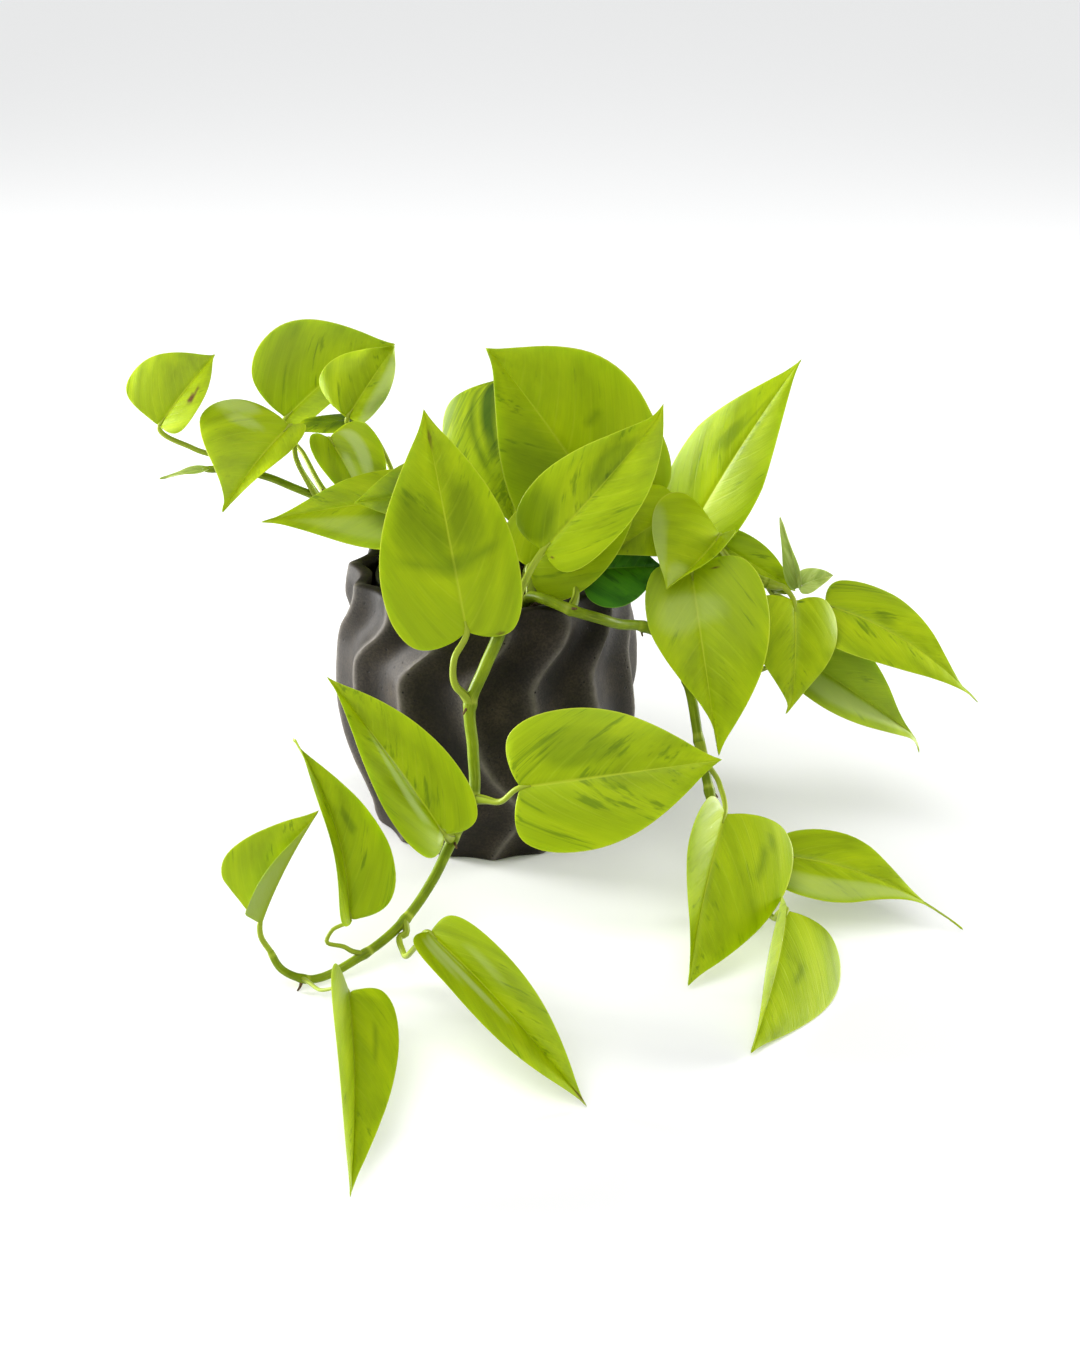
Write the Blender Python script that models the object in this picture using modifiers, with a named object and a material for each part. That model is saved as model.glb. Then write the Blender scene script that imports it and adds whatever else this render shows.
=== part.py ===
"""Trailing lime-green pothos in a fluted concrete planter.

World axes in metres: the planter stands on z = 0 with its centre line on the Z axis,
the side where the longest vine hangs down faces -Y, and +X is to the right of that side.
All lengths in the tables below are millimetres and are turned into metres on use.
"""
import math

import bmesh
import bpy
import numpy as np

MM = 0.001
GAP = 0.3                     # air left between pieces that touch in the real plant

# ---------------------------------------------------------------- planter
RIDGES = 14
RIDGE_PHASE = 2.0             # degrees that the first ridge stands right of the front
COLUMNS_PER_RIDGE = 4
# radius over the ridge crests at each height
CREST_RADIUS = [(0, 49), (5, 51), (16, 54.5), (26, 58.5), (38, 62), (57, 65), (75, 64.7),
                (90, 63), (105, 60.5), (115, 58.5)]
# how far, in degrees, the ridges have swung to the right at each height
RIDGE_SWING = [(0, 1), (8, 5), (16, 10), (26, 12.5), (35, 8), (45, 1), (60, -5), (77, -9),
               (86, -9), (93, -4), (100, 3), (108, 7.5), (115, 6.5)]
OUTER_LEVELS = [0, 5, 14, 24, 34, 46, 60, 74, 84, 93, 101, 108, 115]
INNER_LEVELS = [115, 104, 92, 70, 40, 9]
FLUTE_DEPTH_LOW = 2.5
FLUTE_DEPTH_HIGH = 5.5
WALL = 5.5
PLANTER_FLOOR = 7.0
INNER_FLOOR_RADIUS = 40.5
DRAIN_RADIUS = 4.5
DRAIN_RING = 24.0

# ---------------------------------------------------------------- liner and soil
LINER_STEPS = 40
LINER_PROFILE = [(0.0, 9.0), (35.2, 9.0), (42.8, 106.0), (43.6, 112.5), (47.0, 112.5), (47.0, 106.5),
                 (44.6, 106.5), (44.2, 100.0), (37.5, 9.3), (36.0, 7.3), (0.0, 7.3)]
LINER_HOLES = 6
SOIL_PROFILE = [(0.0, 102.5), (18.0, 102.2), (34.0, 101.0), (42.1, 99.5), (35.1, 11.5), (33.6, 9.3),
                (0.0, 9.3)]
SOCKET_CLEARANCE = 0.35

# ---------------------------------------------------------------- leaves
BLADE_THICKNESS = 0.9
PETIOLE_RADIUS = 1.25
ALONG = [0.0, 0.12, 0.26, 0.42, 0.58, 0.74, 0.88, 1.0]
ACROSS = [-1.0, -0.5, 0.0, 0.5, 1.0]
# where each side rib of a blade ends: rib number, half widths out, lengths up from the base
RIBS = [(0, 0, 0), (0.07, 0.22, -0.035), (0.14, 0.48, -0.05), (0.22, 0.72, -0.03), (0.30, 0.88, 0.04),
        (0.38, 0.97, 0.14), (0.47, 1.0, 0.29), (0.56, 0.965, 0.43), (0.65, 0.85, 0.57), (0.74, 0.66, 0.70),
        (0.83, 0.41, 0.82), (0.91, 0.17, 0.915), (0.96, 0.06, 0.965), (1, 0, 1)]


class Vine:
    """One stem: its radius, the points it passes and how much of it stands in the soil."""

    def __init__(self, radius, points):
        self.radius = radius
        self.points = points


# the first point of each stem is in the soil, the rest follow the stem to its growing end
VINES = {
    "vine_front": Vine(2.6, [
        (2, -24, 82), (2, -26, 98), (3, -36, 116), (4, -50, 123), (6, -62, 122), (7, -71, 117), (0, -78, 103),
        (-6, -81, 88), (-6, -85, 70), (-6, -92, 52), (-10, -102, 39), (-18, -115, 27), (-30, -127, 17),
        (-45, -139, 9), (-68, -149, 4), (-79, -150, 8),
        (-85, -148, 17)]),
    "vine_right_low": Vine(2.2, [
        (14, -26, 82), (15, -28, 98), (16, -33, 110), (19, -40, 117), (26, -49, 119), (35, -54, 117),
        (46, -48, 111), (55, -40, 105), (65, -33, 101), (75, -32, 95), (83, -40, 80), (88, -50, 57),
        (92, -62, 40), (97, -76, 20), (105, -88, 7), (113, -97, 4)]),
    "vine_right_high": Vine(2.2, [
        (26, -6, 82), (28, -7, 98), (40, -8, 114), (58, -8, 123), (78, -8, 124), (90, -8, 122), (104, -8, 117),
        (118, -8, 110), (127, -8, 106)]),
    "vine_left": Vine(2.2, [
        (-26, 2, 82), (-27, 2, 98), (-40, 2, 120), (-50, 1, 132), (-58, 1, 140), (-64, 1, 144), (-70, 1, 147),
        (-80, 2, 151), (-90, 3, 155), (-104, 4, 158), (-118, 5, 157)]),
    "stem_crown_left": Vine(2.4, [(-8, 4, 82), (-8, 4, 98), (-9, 2, 112), (-11, -1, 127)]),
    "stem_crown_right": Vine(2.4, [(16, 8, 82), (16, 8, 98), (18, 7, 110), (24, 5, 122)]),
}
VINE_STEP = 9.0


class Leaf:
    """One blade on its petiole.

    base and tip are the ends of the midrib, face points out of the upper side, and width is the
    full spread. bend is the arc of the midrib in degrees, fold the rise of each half, curl how much
    of that rise is lost by the margin, sway the sideways bow of the midrib and taper a longer tip.
    node is the vine and the number of its point that carries the petiole, via what it passes;
    an end_on leaf carries the line of the vine on from its last point.
    """

    def __init__(self, base, tip, face, width, bend=15, fold=10, curl=15, sway=0, taper=0, node=None, via=(),
                 stalk=PETIOLE_RADIUS, end_on=False, slot="leaf"):
        self.base = np.array(base, float)
        self.tip = np.array(tip, float)
        self.face = np.array(face, float)
        self.width = width
        self.bend = bend
        self.fold = fold
        self.curl = curl
        self.sway = sway
        self.taper = taper
        self.node = node
        self.via = via
        self.stalk = stalk
        self.end_on = end_on
        self.slot = slot


LEAVES = {
    # left vine, from its growing end back to the planter
    "leaf_left_1": Leaf((-134, 8, 173), (-112, 20, 202), (-0.3, -0.8, 0.6), 46, 16, 34, 20,
                        node=("vine_left", 9)),
    "leaf_left_2": Leaf((-81, -2, 177), (-105, -34, 151), (-0.1, -0.6, 0.8), 56, 26, 34, 30,
                        node=("vine_left", 6), via=[(-78, -2, 163)]),
    "leaf_left_3": Leaf((-89, 47, 164), (-40, 63, 187), (-0.1, -0.8, 0.7), 56, 24, 20, 20, -4,
                        node=("vine_left", 5), via=[(-77, 22, 156)]),
    "leaf_left_4": Leaf((-58, 20, 174), (-36, 26, 198), (-0.2, -0.9, 0.4), 42, 24, 12, 30, -3,
                        node=("vine_left", 3), via=[(-51, 23, 156)]),
    "leaf_left_5": Leaf((-57, 32, 169), (-83, 15, 170), (0.1, 0.3, 1.0), 12, 30, 12, 40,
                        node=("vine_left", 2), via=[(-41, 30, 147)]),
    "leaf_left_6": Leaf((-67, 9, 167), (-48, -8, 136), (0.5, -0.6, 0.6), 36, 22, 36, 20,
                        node=("vine_left", 4), via=[(-63, 9, 157)]),
    "leaf_left_bud": Leaf((-121, 5, 157), (-136, 4, 154), (0.0, -0.3, 1.0), 5, 12, 20, 10, slot="young_leaf"),
    # crown, left half
    "leaf_crown_1": Leaf((-20, -12, 151), (-90, -34, 148), (-0.1, -0.6, 0.8), 42, 15, 12, 20,
                         node=("stem_crown_left", 3), via=[(-15, -9, 142)]),
    "leaf_crown_2": Leaf((-8, -22, 157), (-52, -34, 155), (-0.1, -0.7, 0.7), 32, 15, 12, 20,
                         node=("stem_crown_left", 2), via=[(-4, -14, 132), (-4, -21, 148)]),
    "leaf_crown_3": Leaf((7, 19, 185), (12, -3, 133), (-0.3, -0.8, 0.5), 46, 20, 10, 30,
                         node=("stem_crown_left", 3), via=[(-8, 12, 150), (0, 20, 172)]),
    # crown, right half
    "leaf_crown_4": Leaf((52, -1, 137), (1, 7, 207), (0.3, -0.9, 0.3), 72, 18, 22, 10,
                         node=("stem_crown_right", 3), via=[(38, 4, 128)]),
    "leaf_crown_5": Leaf((23, -52, 139), (70, -50, 200), (-0.4, -0.8, 0.4), 46, 16, 22, 10,
                         node=("vine_front", 5), via=[(14, -64, 128)]),
    "leaf_crown_6": Leaf((18, -34, 128), (66, -28, 164), (-0.1, -0.8, 0.5), 40, 15, 10, 20,
                         node=("vine_right_low", 3)),
    "leaf_crown_7": Leaf((80, -7, 143), (50, -35, 133), (0.1, -0.7, 0.7), 34, 15, 10, 20,
                         node=("vine_right_high", 3), via=[(72, -5, 134)]),
    "leaf_crown_8": Leaf((44, -34, 122), (65, -19, 123), (-0.1, -0.8, 0.7), 24, 15, 10, 20,
                         node=("vine_right_low", 5), slot="old_leaf"),
    # front vine, from the rim down
    "leaf_front_1": Leaf((-6, -78, 118), (-22, -58, 202), (0.1, -1.0, 0.2), 58, 20, 8, 16,
                         node=("vine_front", 7), via=[(-12, -84, 96), (-11, -84, 108)]),
    "leaf_front_2": Leaf((14, -104, 62), (92, -116, 80), (-0.2, -0.9, 0.4), 56, 12, 5, 10,
                         node=("vine_front", 9), via=[(6, -100, 53)]),
    "leaf_front_3": Leaf((-15, -112, 47), (-58, -92, 103), (0.4, -0.7, 0.6), 44, 16, 28, 10,
                         node=("vine_front", 10)),
    "leaf_front_4": Leaf((-18, -170, 37), (39, -229, 1), (0.1, -0.4, 0.9), 31, 30, 42, 10,
                         node=("vine_front", 12), via=[(-27, -140, 21), (-26, -158, 31)]),
    "leaf_front_5": Leaf((-51, -140, 24), (-70, -118, 91), (0.7, -0.6, 0.4), 40, 14, 40, 12, 5,
                         node=("vine_front", 13), via=[(-52, -142, 16)]),
    "leaf_front_6": Leaf((-52, -188, 26), (-40, -282, 2), (0.6, -0.1, 0.8), 42, 16, 40, 10,
                         node=("vine_front", 14), via=[(-66, -158, 9), (-60, -174, 20)]),
    "leaf_front_7": Leaf((-85, -147, 25), (-59, -150, 77), (-0.7, -0.7, 0.3), 45, 14, 38, 14,
                         node=("vine_front", 16), stalk=1.8, end_on=True),
    # right high vine, from the rim outwards
    "leaf_right_1": Leaf((88, 13, 129), (129, 3, 204), (-0.6, -0.7, 0.2), 48, 14, 28, 12, 0, 0.3,
                         node=("vine_right_high", 4)),
    "leaf_right_2": Leaf((84, -34, 126), (95, -66, 58), (-0.1, -0.9, 0.4), 58, 26, 8, 20,
                         node=("vine_right_high", 4), via=[(81, -22, 129)]),
    "leaf_right_3": Leaf((96, -23, 137), (73, -47, 123), (-0.2, -0.3, 0.9), 43, 30, 38, 15, -3,
                         node=("vine_right_high", 5)),
    "leaf_right_4": Leaf((99, 6, 126), (131, 1, 103), (0.1, -0.9, 0.4), 28, 20, 12, 25,
                         node=("vine_right_high", 6)),
    "leaf_right_5": Leaf((128, -21, 108), (127, -41, 63), (0.3, -0.8, 0.4), 38, 30, 12, 30,
                         node=("vine_right_high", 7), via=[(124, -18, 112)]),
    "leaf_right_6": Leaf((144, 0, 88), (205, -30, 64), (0.2, -0.3, 0.9), 50, 66, 8, 20, -5, 0.3,
                         node=("vine_right_high", 7), via=[(128, -6, 99)]),
    "leaf_right_7": Leaf((139, 2, 70), (185, -20, 36), (0.2, -0.7, 0.7), 36, 22, 42, 10, 0, 0.2,
                         node=("vine_right_low", 10), via=[(92, -34, 78), (114, -13, 72)]),
    "leaf_right_bud_1": Leaf((130, -6, 109), (121, -6, 139), (-0.6, -0.5, 0.1), 9, 12, 30, 10,
                             slot="young_leaf"),
    "leaf_right_bud_2": Leaf((134, -10, 105), (147, -11, 113), (0.1, -0.6, 0.8), 12, 30, 20, 10,
                             slot="young_leaf"),
    # right low vine, where it reaches the surface
    "leaf_low_1": Leaf((95, -102, 50), (79, -151, 2), (0.5, -0.6, 0.5), 51, 24, 34, 14, 4,
                       node=("vine_right_low", 11), via=[(91, -66, 54), (94, -86, 55)]),
    "leaf_low_2": Leaf((121, -90, 22), (191, -109, 2), (0.1, -0.3, 0.9), 34, 54, 10, 20, -5, 0.4,
                       node=("vine_right_low", 14)),
    "leaf_low_3": Leaf((119, -120, 17), (99, -197, 2), (0.7, -0.3, 0.6), 46, 14, 40, 10,
                       node=("vine_right_low", 15), via=[(117, -107, 8)], end_on=True),
    # behind the crown
    "leaf_back_1": Leaf((-21, 36, 138), (-42, 88, 112), (0.0, 0.4, 0.9), 50, 30, 10, 20,
                        node=("stem_crown_left", 2), via=[(-13, 22, 128)]),
    "leaf_back_2": Leaf((21, 38, 136), (38, 94, 108), (0.1, 0.4, 0.9), 52, 32, 10, 20,
                        node=("stem_crown_right", 2), via=[(18, 22, 124)]),
    "leaf_back_3": Leaf((46, 20, 128), (88, 58, 110), (0.3, 0.3, 0.9), 44, 28, 10, 20,
                        node=("stem_crown_right", 3), via=[(36, 13, 126)]),
    "leaf_back_4": Leaf((-34, 24, 126), (-66, 68, 106), (-0.2, 0.3, 0.9), 46, 30, 10, 20,
                        node=("stem_crown_left", 3), via=[(-22, 12, 128)]),
}

COLOURS = {
    "concrete": (0.075, 0.068, 0.060, 1.0),
    "liner": (0.012, 0.012, 0.012, 1.0),
    "soil": (0.045, 0.028, 0.018, 1.0),
    "stem": (0.25, 0.42, 0.05, 1.0),
    "leaf": (0.30, 0.52, 0.01, 1.0),
    "young_leaf": (0.40, 0.55, 0.12, 1.0),
    "old_leaf": (0.05, 0.18, 0.01, 1.0),
}
ROUGHNESS = {"concrete": 0.9, "liner": 0.5, "soil": 1.0, "stem": 0.5, "leaf": 0.4, "young_leaf": 0.4,
             "old_leaf": 0.4}


# ---------------------------------------------------------------- general helpers
def smooth_between(x, table):
    """Reads a table of (place, value) rows at x along a smooth curve through its rows."""
    places, values = np.array(table, float).T
    slopes = np.gradient(values, places)
    row = np.clip(np.searchsorted(places, x, side="right") - 1, 0, len(places) - 2)
    step = places[row + 1] - places[row]
    u = (x - places[row]) / step
    start = (2 * u**3 - 3 * u**2 + 1) * values[row] + (u**3 - 2 * u**2 + u) * step * slopes[row]
    end = (3 * u**2 - 2 * u**3) * values[row + 1] + (u**3 - u**2) * step * slopes[row + 1]
    return start + end


def route(points, spacing):
    """Points every spacing or so along a smooth line through the given points."""
    points = np.array(points, float)
    reach = np.concatenate([[0.0], np.cumsum(np.linalg.norm(np.diff(points, axis=0), axis=1))])
    count = max(2, int(round(reach[-1] / spacing)) + 1)
    places = np.linspace(0.0, reach[-1], count)
    if len(points) == 2:
        return np.stack([np.interp(places, reach, points[:, k]) for k in range(3)], 1)
    return np.stack([smooth_between(places, np.stack([reach, points[:, k]], 1)) for k in range(3)], 1)


def unit(vector):
    return vector / np.linalg.norm(vector)


def material(name):
    found = bpy.data.materials.get(name)
    if found is None:
        found = bpy.data.materials.new(name)
        found.use_nodes = True
        shader = found.node_tree.nodes["Principled BSDF"]
        shader.inputs["Base Color"].default_value = COLOURS[name]
        shader.inputs["Roughness"].default_value = ROUGHNESS[name]
    return found


def place(name, mesh, collection, slot=None):
    """Links a mesh into a collection as a named, smooth shaded object."""
    made = bpy.data.objects.new(name, mesh)
    collection.objects.link(made)
    if slot is not None:
        mesh.materials.clear()
        mesh.materials.append(material(slot))
    mesh.shade_smooth()
    mesh.set_sharp_from_angle(angle=math.radians(40))
    return made


def cutter_style(made):
    made.hide_render = True
    made.display_type = "WIRE"
    return made


def weld(mesh, distance=0.00001):
    shape = bmesh.new()
    shape.from_mesh(mesh)
    bmesh.ops.remove_doubles(shape, verts=shape.verts, dist=distance)
    bmesh.ops.recalc_face_normals(shape, faces=shape.faces)
    shape.to_mesh(mesh)
    shape.free()
    return mesh


def evaluated_mesh(made):
    """The mesh of an object with its modifiers or bevel worked out, in world coordinates."""
    bpy.context.view_layer.update()
    mesh = bpy.data.meshes.new_from_object(made.evaluated_get(bpy.context.evaluated_depsgraph_get()))
    mesh.transform(made.matrix_world)
    return mesh


def rod(name, points, radius, collection, bevel_resolution=2):
    """A round rod along the points, made as a bevelled curve and turned into a welded mesh."""
    curve = bpy.data.curves.new(name, "CURVE")
    curve.dimensions = "3D"
    curve.bevel_depth = radius * MM
    curve.bevel_resolution = bevel_resolution
    curve.use_fill_caps = True
    spline = curve.splines.new("POLY")
    spline.points.add(len(points) - 1)
    for spot, point in zip(spline.points, points):
        spot.co = (*(float(c) * MM for c in point), 1.0)
    drawn = bpy.data.objects.new(name + "_line", curve)
    collection.objects.link(drawn)
    mesh = weld(evaluated_mesh(drawn))
    mesh.name = name
    bpy.data.objects.remove(drawn)
    bpy.data.curves.remove(curve)
    return mesh


def boolean(made, other, operation):
    step = made.modifiers.new(operation.title(), "BOOLEAN")
    step.operation = operation
    step.solver = "EXACT"
    step.object = other
    return step


def turned(name, profile, steps, collection, slot):
    """A solid of revolution: a profile of (radius, height) rows turned once about the Z axis."""
    mesh = bpy.data.meshes.new(name)
    corners = [(r * MM, 0.0, z * MM) for r, z in profile]
    edges = [(i, i + 1) for i in range(len(corners) - 1)]
    mesh.from_pydata(corners, edges, [])
    made = place(name, mesh, collection, slot)
    screw = made.modifiers.new("Turn", "SCREW")
    screw.axis = "Z"
    screw.angle = math.tau
    screw.steps = steps
    screw.render_steps = steps
    screw.use_merge_vertices = True
    screw.merge_threshold = 0.00005
    return made


def settle(made):
    """Replaces an object's modifiers by their result."""
    mesh = weld(evaluated_mesh(made))
    old = made.data
    made.modifiers.clear()
    made.data = mesh
    bpy.data.meshes.remove(old)
    mesh.shade_smooth()
    mesh.set_sharp_from_angle(angle=math.radians(40))
    return made


# ---------------------------------------------------------------- planter
def flute_radius(around, height):
    """Outside radius: a crest at every ridge with a hollow flute between two of them."""
    crest = smooth_between(height, CREST_RADIUS)
    depth = FLUTE_DEPTH_LOW + (FLUTE_DEPTH_HIGH - FLUTE_DEPTH_LOW) * min(height / 50.0, 1.0)
    hollow = np.sqrt(np.sin(RIDGES * around / 2.0)**2 + 0.015) - math.sqrt(0.015)
    return crest - depth * hollow


def ring(around, radius, height):
    """Corner points of one level, turned with the swing of the ridges there."""
    swing = math.radians(smooth_between(np.array([float(height)]), RIDGE_SWING)[0] + RIDGE_PHASE)
    angle = around + swing
    return np.stack([radius * np.sin(angle), -radius * np.cos(angle), np.full(len(around), height)], 1)


def build_planter(collection, cutters):
    columns = RIDGES * COLUMNS_PER_RIDGE
    around = np.linspace(0.0, math.tau, columns, endpoint=False)
    rings = [ring(around, flute_radius(around, z), z) for z in OUTER_LEVELS]
    for z in INNER_LEVELS:
        fluted = flute_radius(around, z) - WALL
        share = min(max((z - 35.0) / 35.0, 0.0), 1.0)
        plain = INNER_FLOOR_RADIUS + (z - 9.0) * 0.16
        rings.append(ring(around, share * fluted + (1.0 - share) * plain, z))
    rings.append(ring(around, np.full(columns, INNER_FLOOR_RADIUS - 2.0), PLANTER_FLOOR))
    shape = bmesh.new()
    rows = [[shape.verts.new(p * MM) for p in corners] for corners in rings]
    for low, high in zip(rows, rows[1:]):
        for i in range(columns):
            j = (i + 1) % columns
            shape.faces.new((low[i], low[j], high[j], high[i]))
    for row, height in ((rows[0], 0.0), (rows[-1], PLANTER_FLOOR)):
        hub = shape.verts.new((0.0, 0.0, height * MM))
        for i in range(columns):
            shape.faces.new((row[i], row[(i + 1) % columns], hub))
    bmesh.ops.recalc_face_normals(shape, faces=shape.faces)
    mesh = bpy.data.meshes.new("planter")
    shape.to_mesh(mesh)
    shape.free()
    planter = place("planter", mesh, collection, "concrete")
    for k in range(3):
        angle = math.radians(30 + 120 * k)
        drain = drill("drain_%d" % (k + 1), DRAIN_RING * math.cos(angle), DRAIN_RING * math.sin(angle), -5.0,
                      PLANTER_FLOOR + 5.0, DRAIN_RADIUS, cutters)
        boolean(planter, drain, "DIFFERENCE")
    return settle(planter)


def drill(name, x, y, low, high, radius, cutters):
    """An upright round cutter between two heights."""
    shape = bmesh.new()
    bmesh.ops.create_cone(shape, cap_ends=True, segments=16, radius1=radius * MM, radius2=radius * MM,
                          depth=(high - low) * MM)
    bmesh.ops.translate(shape, verts=shape.verts, vec=(x * MM, y * MM, (low + high) / 2.0 * MM))
    mesh = bpy.data.meshes.new(name)
    shape.to_mesh(mesh)
    shape.free()
    return cutter_style(place(name, mesh, cutters))


# ---------------------------------------------------------------- liner and soil
def build_liner(collection, cutters):
    liner = turned("liner", LINER_PROFILE, LINER_STEPS, collection, "liner")
    for k in range(LINER_HOLES):
        angle = math.tau * (k + 0.5) / LINER_HOLES
        hole = drill("liner_hole_%d" % (k + 1), 26.0 * math.cos(angle), 26.0 * math.sin(angle), 3.0, 9.15, 3.0,
                     cutters)
        boolean(liner, hole, "DIFFERENCE")
    return settle(liner)


def build_soil(collection, cutters):
    soil = turned("soil", SOIL_PROFILE, LINER_STEPS, collection, "soil")
    for name, vine in VINES.items():
        points = route(vine.points, VINE_STEP)
        below = points[0] - unit(points[1] - points[0]) * SOCKET_CLEARANCE
        buried = [below] + [p for p in points if p[2] < 113.0]
        socket = rod(name + "_socket", buried, vine.radius + SOCKET_CLEARANCE, cutters)
        boolean(soil, cutter_style(place(name + "_socket", socket, cutters)), "DIFFERENCE")
    return settle(soil)


# ---------------------------------------------------------------- plant
def build_vine(name, vine, collection):
    return place(name, rod(name, route(vine.points, VINE_STEP), vine.radius, collection), collection, "stem")


def blade_points(leaf, along, across):
    """Middle surface of a blade, as a grid of points.

    Ribs leave the midrib and curve forward to the margin. The midrib is an arc that bows towards the
    upper side, both halves rise from it by the fold and curl back level, and the whole may sway sideways.
    """
    chord = leaf.tip - leaf.base
    length = np.linalg.norm(chord)
    forward = chord / length
    up = unit(leaf.face - leaf.face @ forward * forward)
    side = np.cross(forward, up)
    arc = math.radians(leaf.bend)
    radius = length / (2.0 * math.sin(arc / 2.0))
    midrib = radius * arc
    number, out, ahead = np.array(RIBS, float).T
    spread = smooth_between(along, np.stack([number, out], 1)) * leaf.width / 2.0
    spread = spread * (1.0 - leaf.taper * np.clip((along - 0.55) / 0.35, 0.0, 1.0))
    end = smooth_between(along, np.stack([number, ahead], 1)) * midrib
    start = along**2 * midrib
    fraction = np.abs(across)[None, :]
    lateral = fraction * spread[:, None]
    forth = start[:, None] + (end - start)[:, None] * fraction**1.25
    fold = math.radians(leaf.fold)
    turn = math.radians(leaf.curl) / (leaf.width / 2.0)
    sideways = (math.sin(fold) - np.sin(fold - turn * lateral)) / turn * np.sign(across)[None, :]
    rise = (np.cos(fold - turn * lateral) - math.cos(fold)) / turn
    sideways = sideways + leaf.sway * np.sin(math.pi * np.clip(forth / midrib, -0.1, 1.0))
    angle = forth / radius - arc / 2.0
    ahead_of = radius * (np.sin(angle) + math.sin(arc / 2.0))
    above = radius * (np.cos(angle) - math.cos(arc / 2.0))
    tilted_up = up * np.cos(angle)[..., None] + forward * np.sin(angle)[..., None]
    return (leaf.base + ahead_of[..., None] * forward + above[..., None] * up + sideways[..., None] * side
            + rise[..., None] * tilted_up)


def petiole_points(leaf):
    """From just clear of the vine's skin to a little way under the blade."""
    name, number = leaf.node
    vine = VINES[name]
    points = np.array(vine.points, float)
    centre = points[number]
    last = min(number + 1, len(points) - 1)
    tangent = unit(points[last] - points[number - 1])
    target = np.array(leaf.via[0] if leaf.via else leaf.base, float)
    out = target - centre
    out = unit(out - out @ tangent * tangent)
    foot = centre + out * (vine.radius + GAP + 0.45)
    if leaf.end_on:
        out = unit(route(vine.points, VINE_STEP)[-1] - route(vine.points, VINE_STEP)[-2])
        foot = centre + out * (GAP + 0.6)
    inside = blade_points(leaf, np.array([0.3]), np.array([0.0]))[0, 0]
    end = leaf.base + unit(inside - leaf.base) * 5.0
    return route([foot, foot + out * 4.0, *leaf.via, leaf.base, end], 8.0)


def build_leaf(name, leaf, collection, cutters):
    grid = blade_points(leaf, np.array(ALONG), np.array(ACROSS))
    rows, columns = grid.shape[:2]
    shape = bmesh.new()
    bmesh.ops.create_grid(shape, x_segments=rows - 1, y_segments=columns - 1, size=0.5)
    for corner in shape.verts:
        i = int(round((corner.co.x + 0.5) * (rows - 1)))
        j = int(round((corner.co.y + 0.5) * (columns - 1)))
        corner.co = grid[i, j] * MM
    bmesh.ops.remove_doubles(shape, verts=shape.verts, dist=0.00001)
    mesh = bpy.data.meshes.new(name)
    shape.to_mesh(mesh)
    shape.free()
    blade = place(name, mesh, collection, leaf.slot)
    thick = blade.modifiers.new("Thickness", "SOLIDIFY")
    thick.thickness = BLADE_THICKNESS * MM
    thick.offset = 0.0
    settle(blade)
    if leaf.node is not None:
        stalk = rod(name + "_petiole", petiole_points(leaf), leaf.stalk, cutters, 1)
        boolean(blade, cutter_style(place(name + "_petiole", stalk, cutters)), "UNION")
        settle(blade)
    return blade


def main():
    for old in list(bpy.data.objects):
        bpy.data.objects.remove(old)
    collection = bpy.data.collections.new("potted_pothos")
    cutters = bpy.data.collections.new("cutters")
    bpy.context.scene.collection.children.link(collection)
    bpy.context.scene.collection.children.link(cutters)
    build_planter(collection, cutters)
    build_liner(collection, cutters)
    build_soil(collection, cutters)
    for name, vine in VINES.items():
        build_vine(name, vine, collection)
    for name, leaf in LEAVES.items():
        build_leaf(name, leaf, collection, cutters)


main()
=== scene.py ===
"""A young lime-green pothos in a dark fluted concrete planter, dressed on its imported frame.

Every piece is a surface worked out with numpy in millimetres and written into a mesh in metres. The
planter stands on z = 0 with its centre line on the Z axis, and the side with the long vine faces -Y.
"""

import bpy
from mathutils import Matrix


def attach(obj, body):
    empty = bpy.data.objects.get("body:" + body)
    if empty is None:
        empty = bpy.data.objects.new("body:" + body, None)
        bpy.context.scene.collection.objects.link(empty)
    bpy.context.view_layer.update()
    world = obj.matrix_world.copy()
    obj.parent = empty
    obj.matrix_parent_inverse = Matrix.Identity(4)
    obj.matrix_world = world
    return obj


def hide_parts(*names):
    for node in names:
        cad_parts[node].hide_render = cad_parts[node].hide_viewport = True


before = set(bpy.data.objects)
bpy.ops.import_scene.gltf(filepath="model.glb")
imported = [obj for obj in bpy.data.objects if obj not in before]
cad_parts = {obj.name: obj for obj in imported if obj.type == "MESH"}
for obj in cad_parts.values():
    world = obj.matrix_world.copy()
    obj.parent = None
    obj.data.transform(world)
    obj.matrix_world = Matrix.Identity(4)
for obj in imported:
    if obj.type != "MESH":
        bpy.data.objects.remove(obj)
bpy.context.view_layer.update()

import logging
import math
from dataclasses import dataclass, field
from enum import Enum
from typing import Any, Sequence

import bpy
import numpy as np

Array = np.ndarray
Point = tuple[float, float, float]
LOG = logging.getLogger("potted_pothos")
MM = 0.001
BODY = "root"
# spacing of the points along a stem or petiole, in millimetres
STEP = 1.3


class Slot(Enum):
    """The record's material slots."""

    CONCRETE = "concrete"
    LINER = "liner"
    SOIL = "soil"
    STEM = "stem"
    LEAF = "leaf"
    YOUNG_LEAF = "young_leaf"
    # a darker copy of the blade finish, painted shade for a leaf low in the crown
    SHADED_LEAF = "old_leaf"


# ------------------------------------------------------------------ colour and shader nodes
def linear(code: str) -> tuple[float, float, float, float]:
    """Turns a colour as it is seen into the light values that shaders take.

    Args:
        code: An sRGB colour as "#rrggbb".

    Returns:
        Linear red, green, blue and an alpha of 1.
    """
    seen = [int(code[i:i + 2], 16) / 255.0 for i in (1, 3, 5)]
    return (*(c / 12.92 if c <= 0.04045 else ((c + 0.055) / 1.055) ** 2.4 for c in seen), 1.0)


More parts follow.
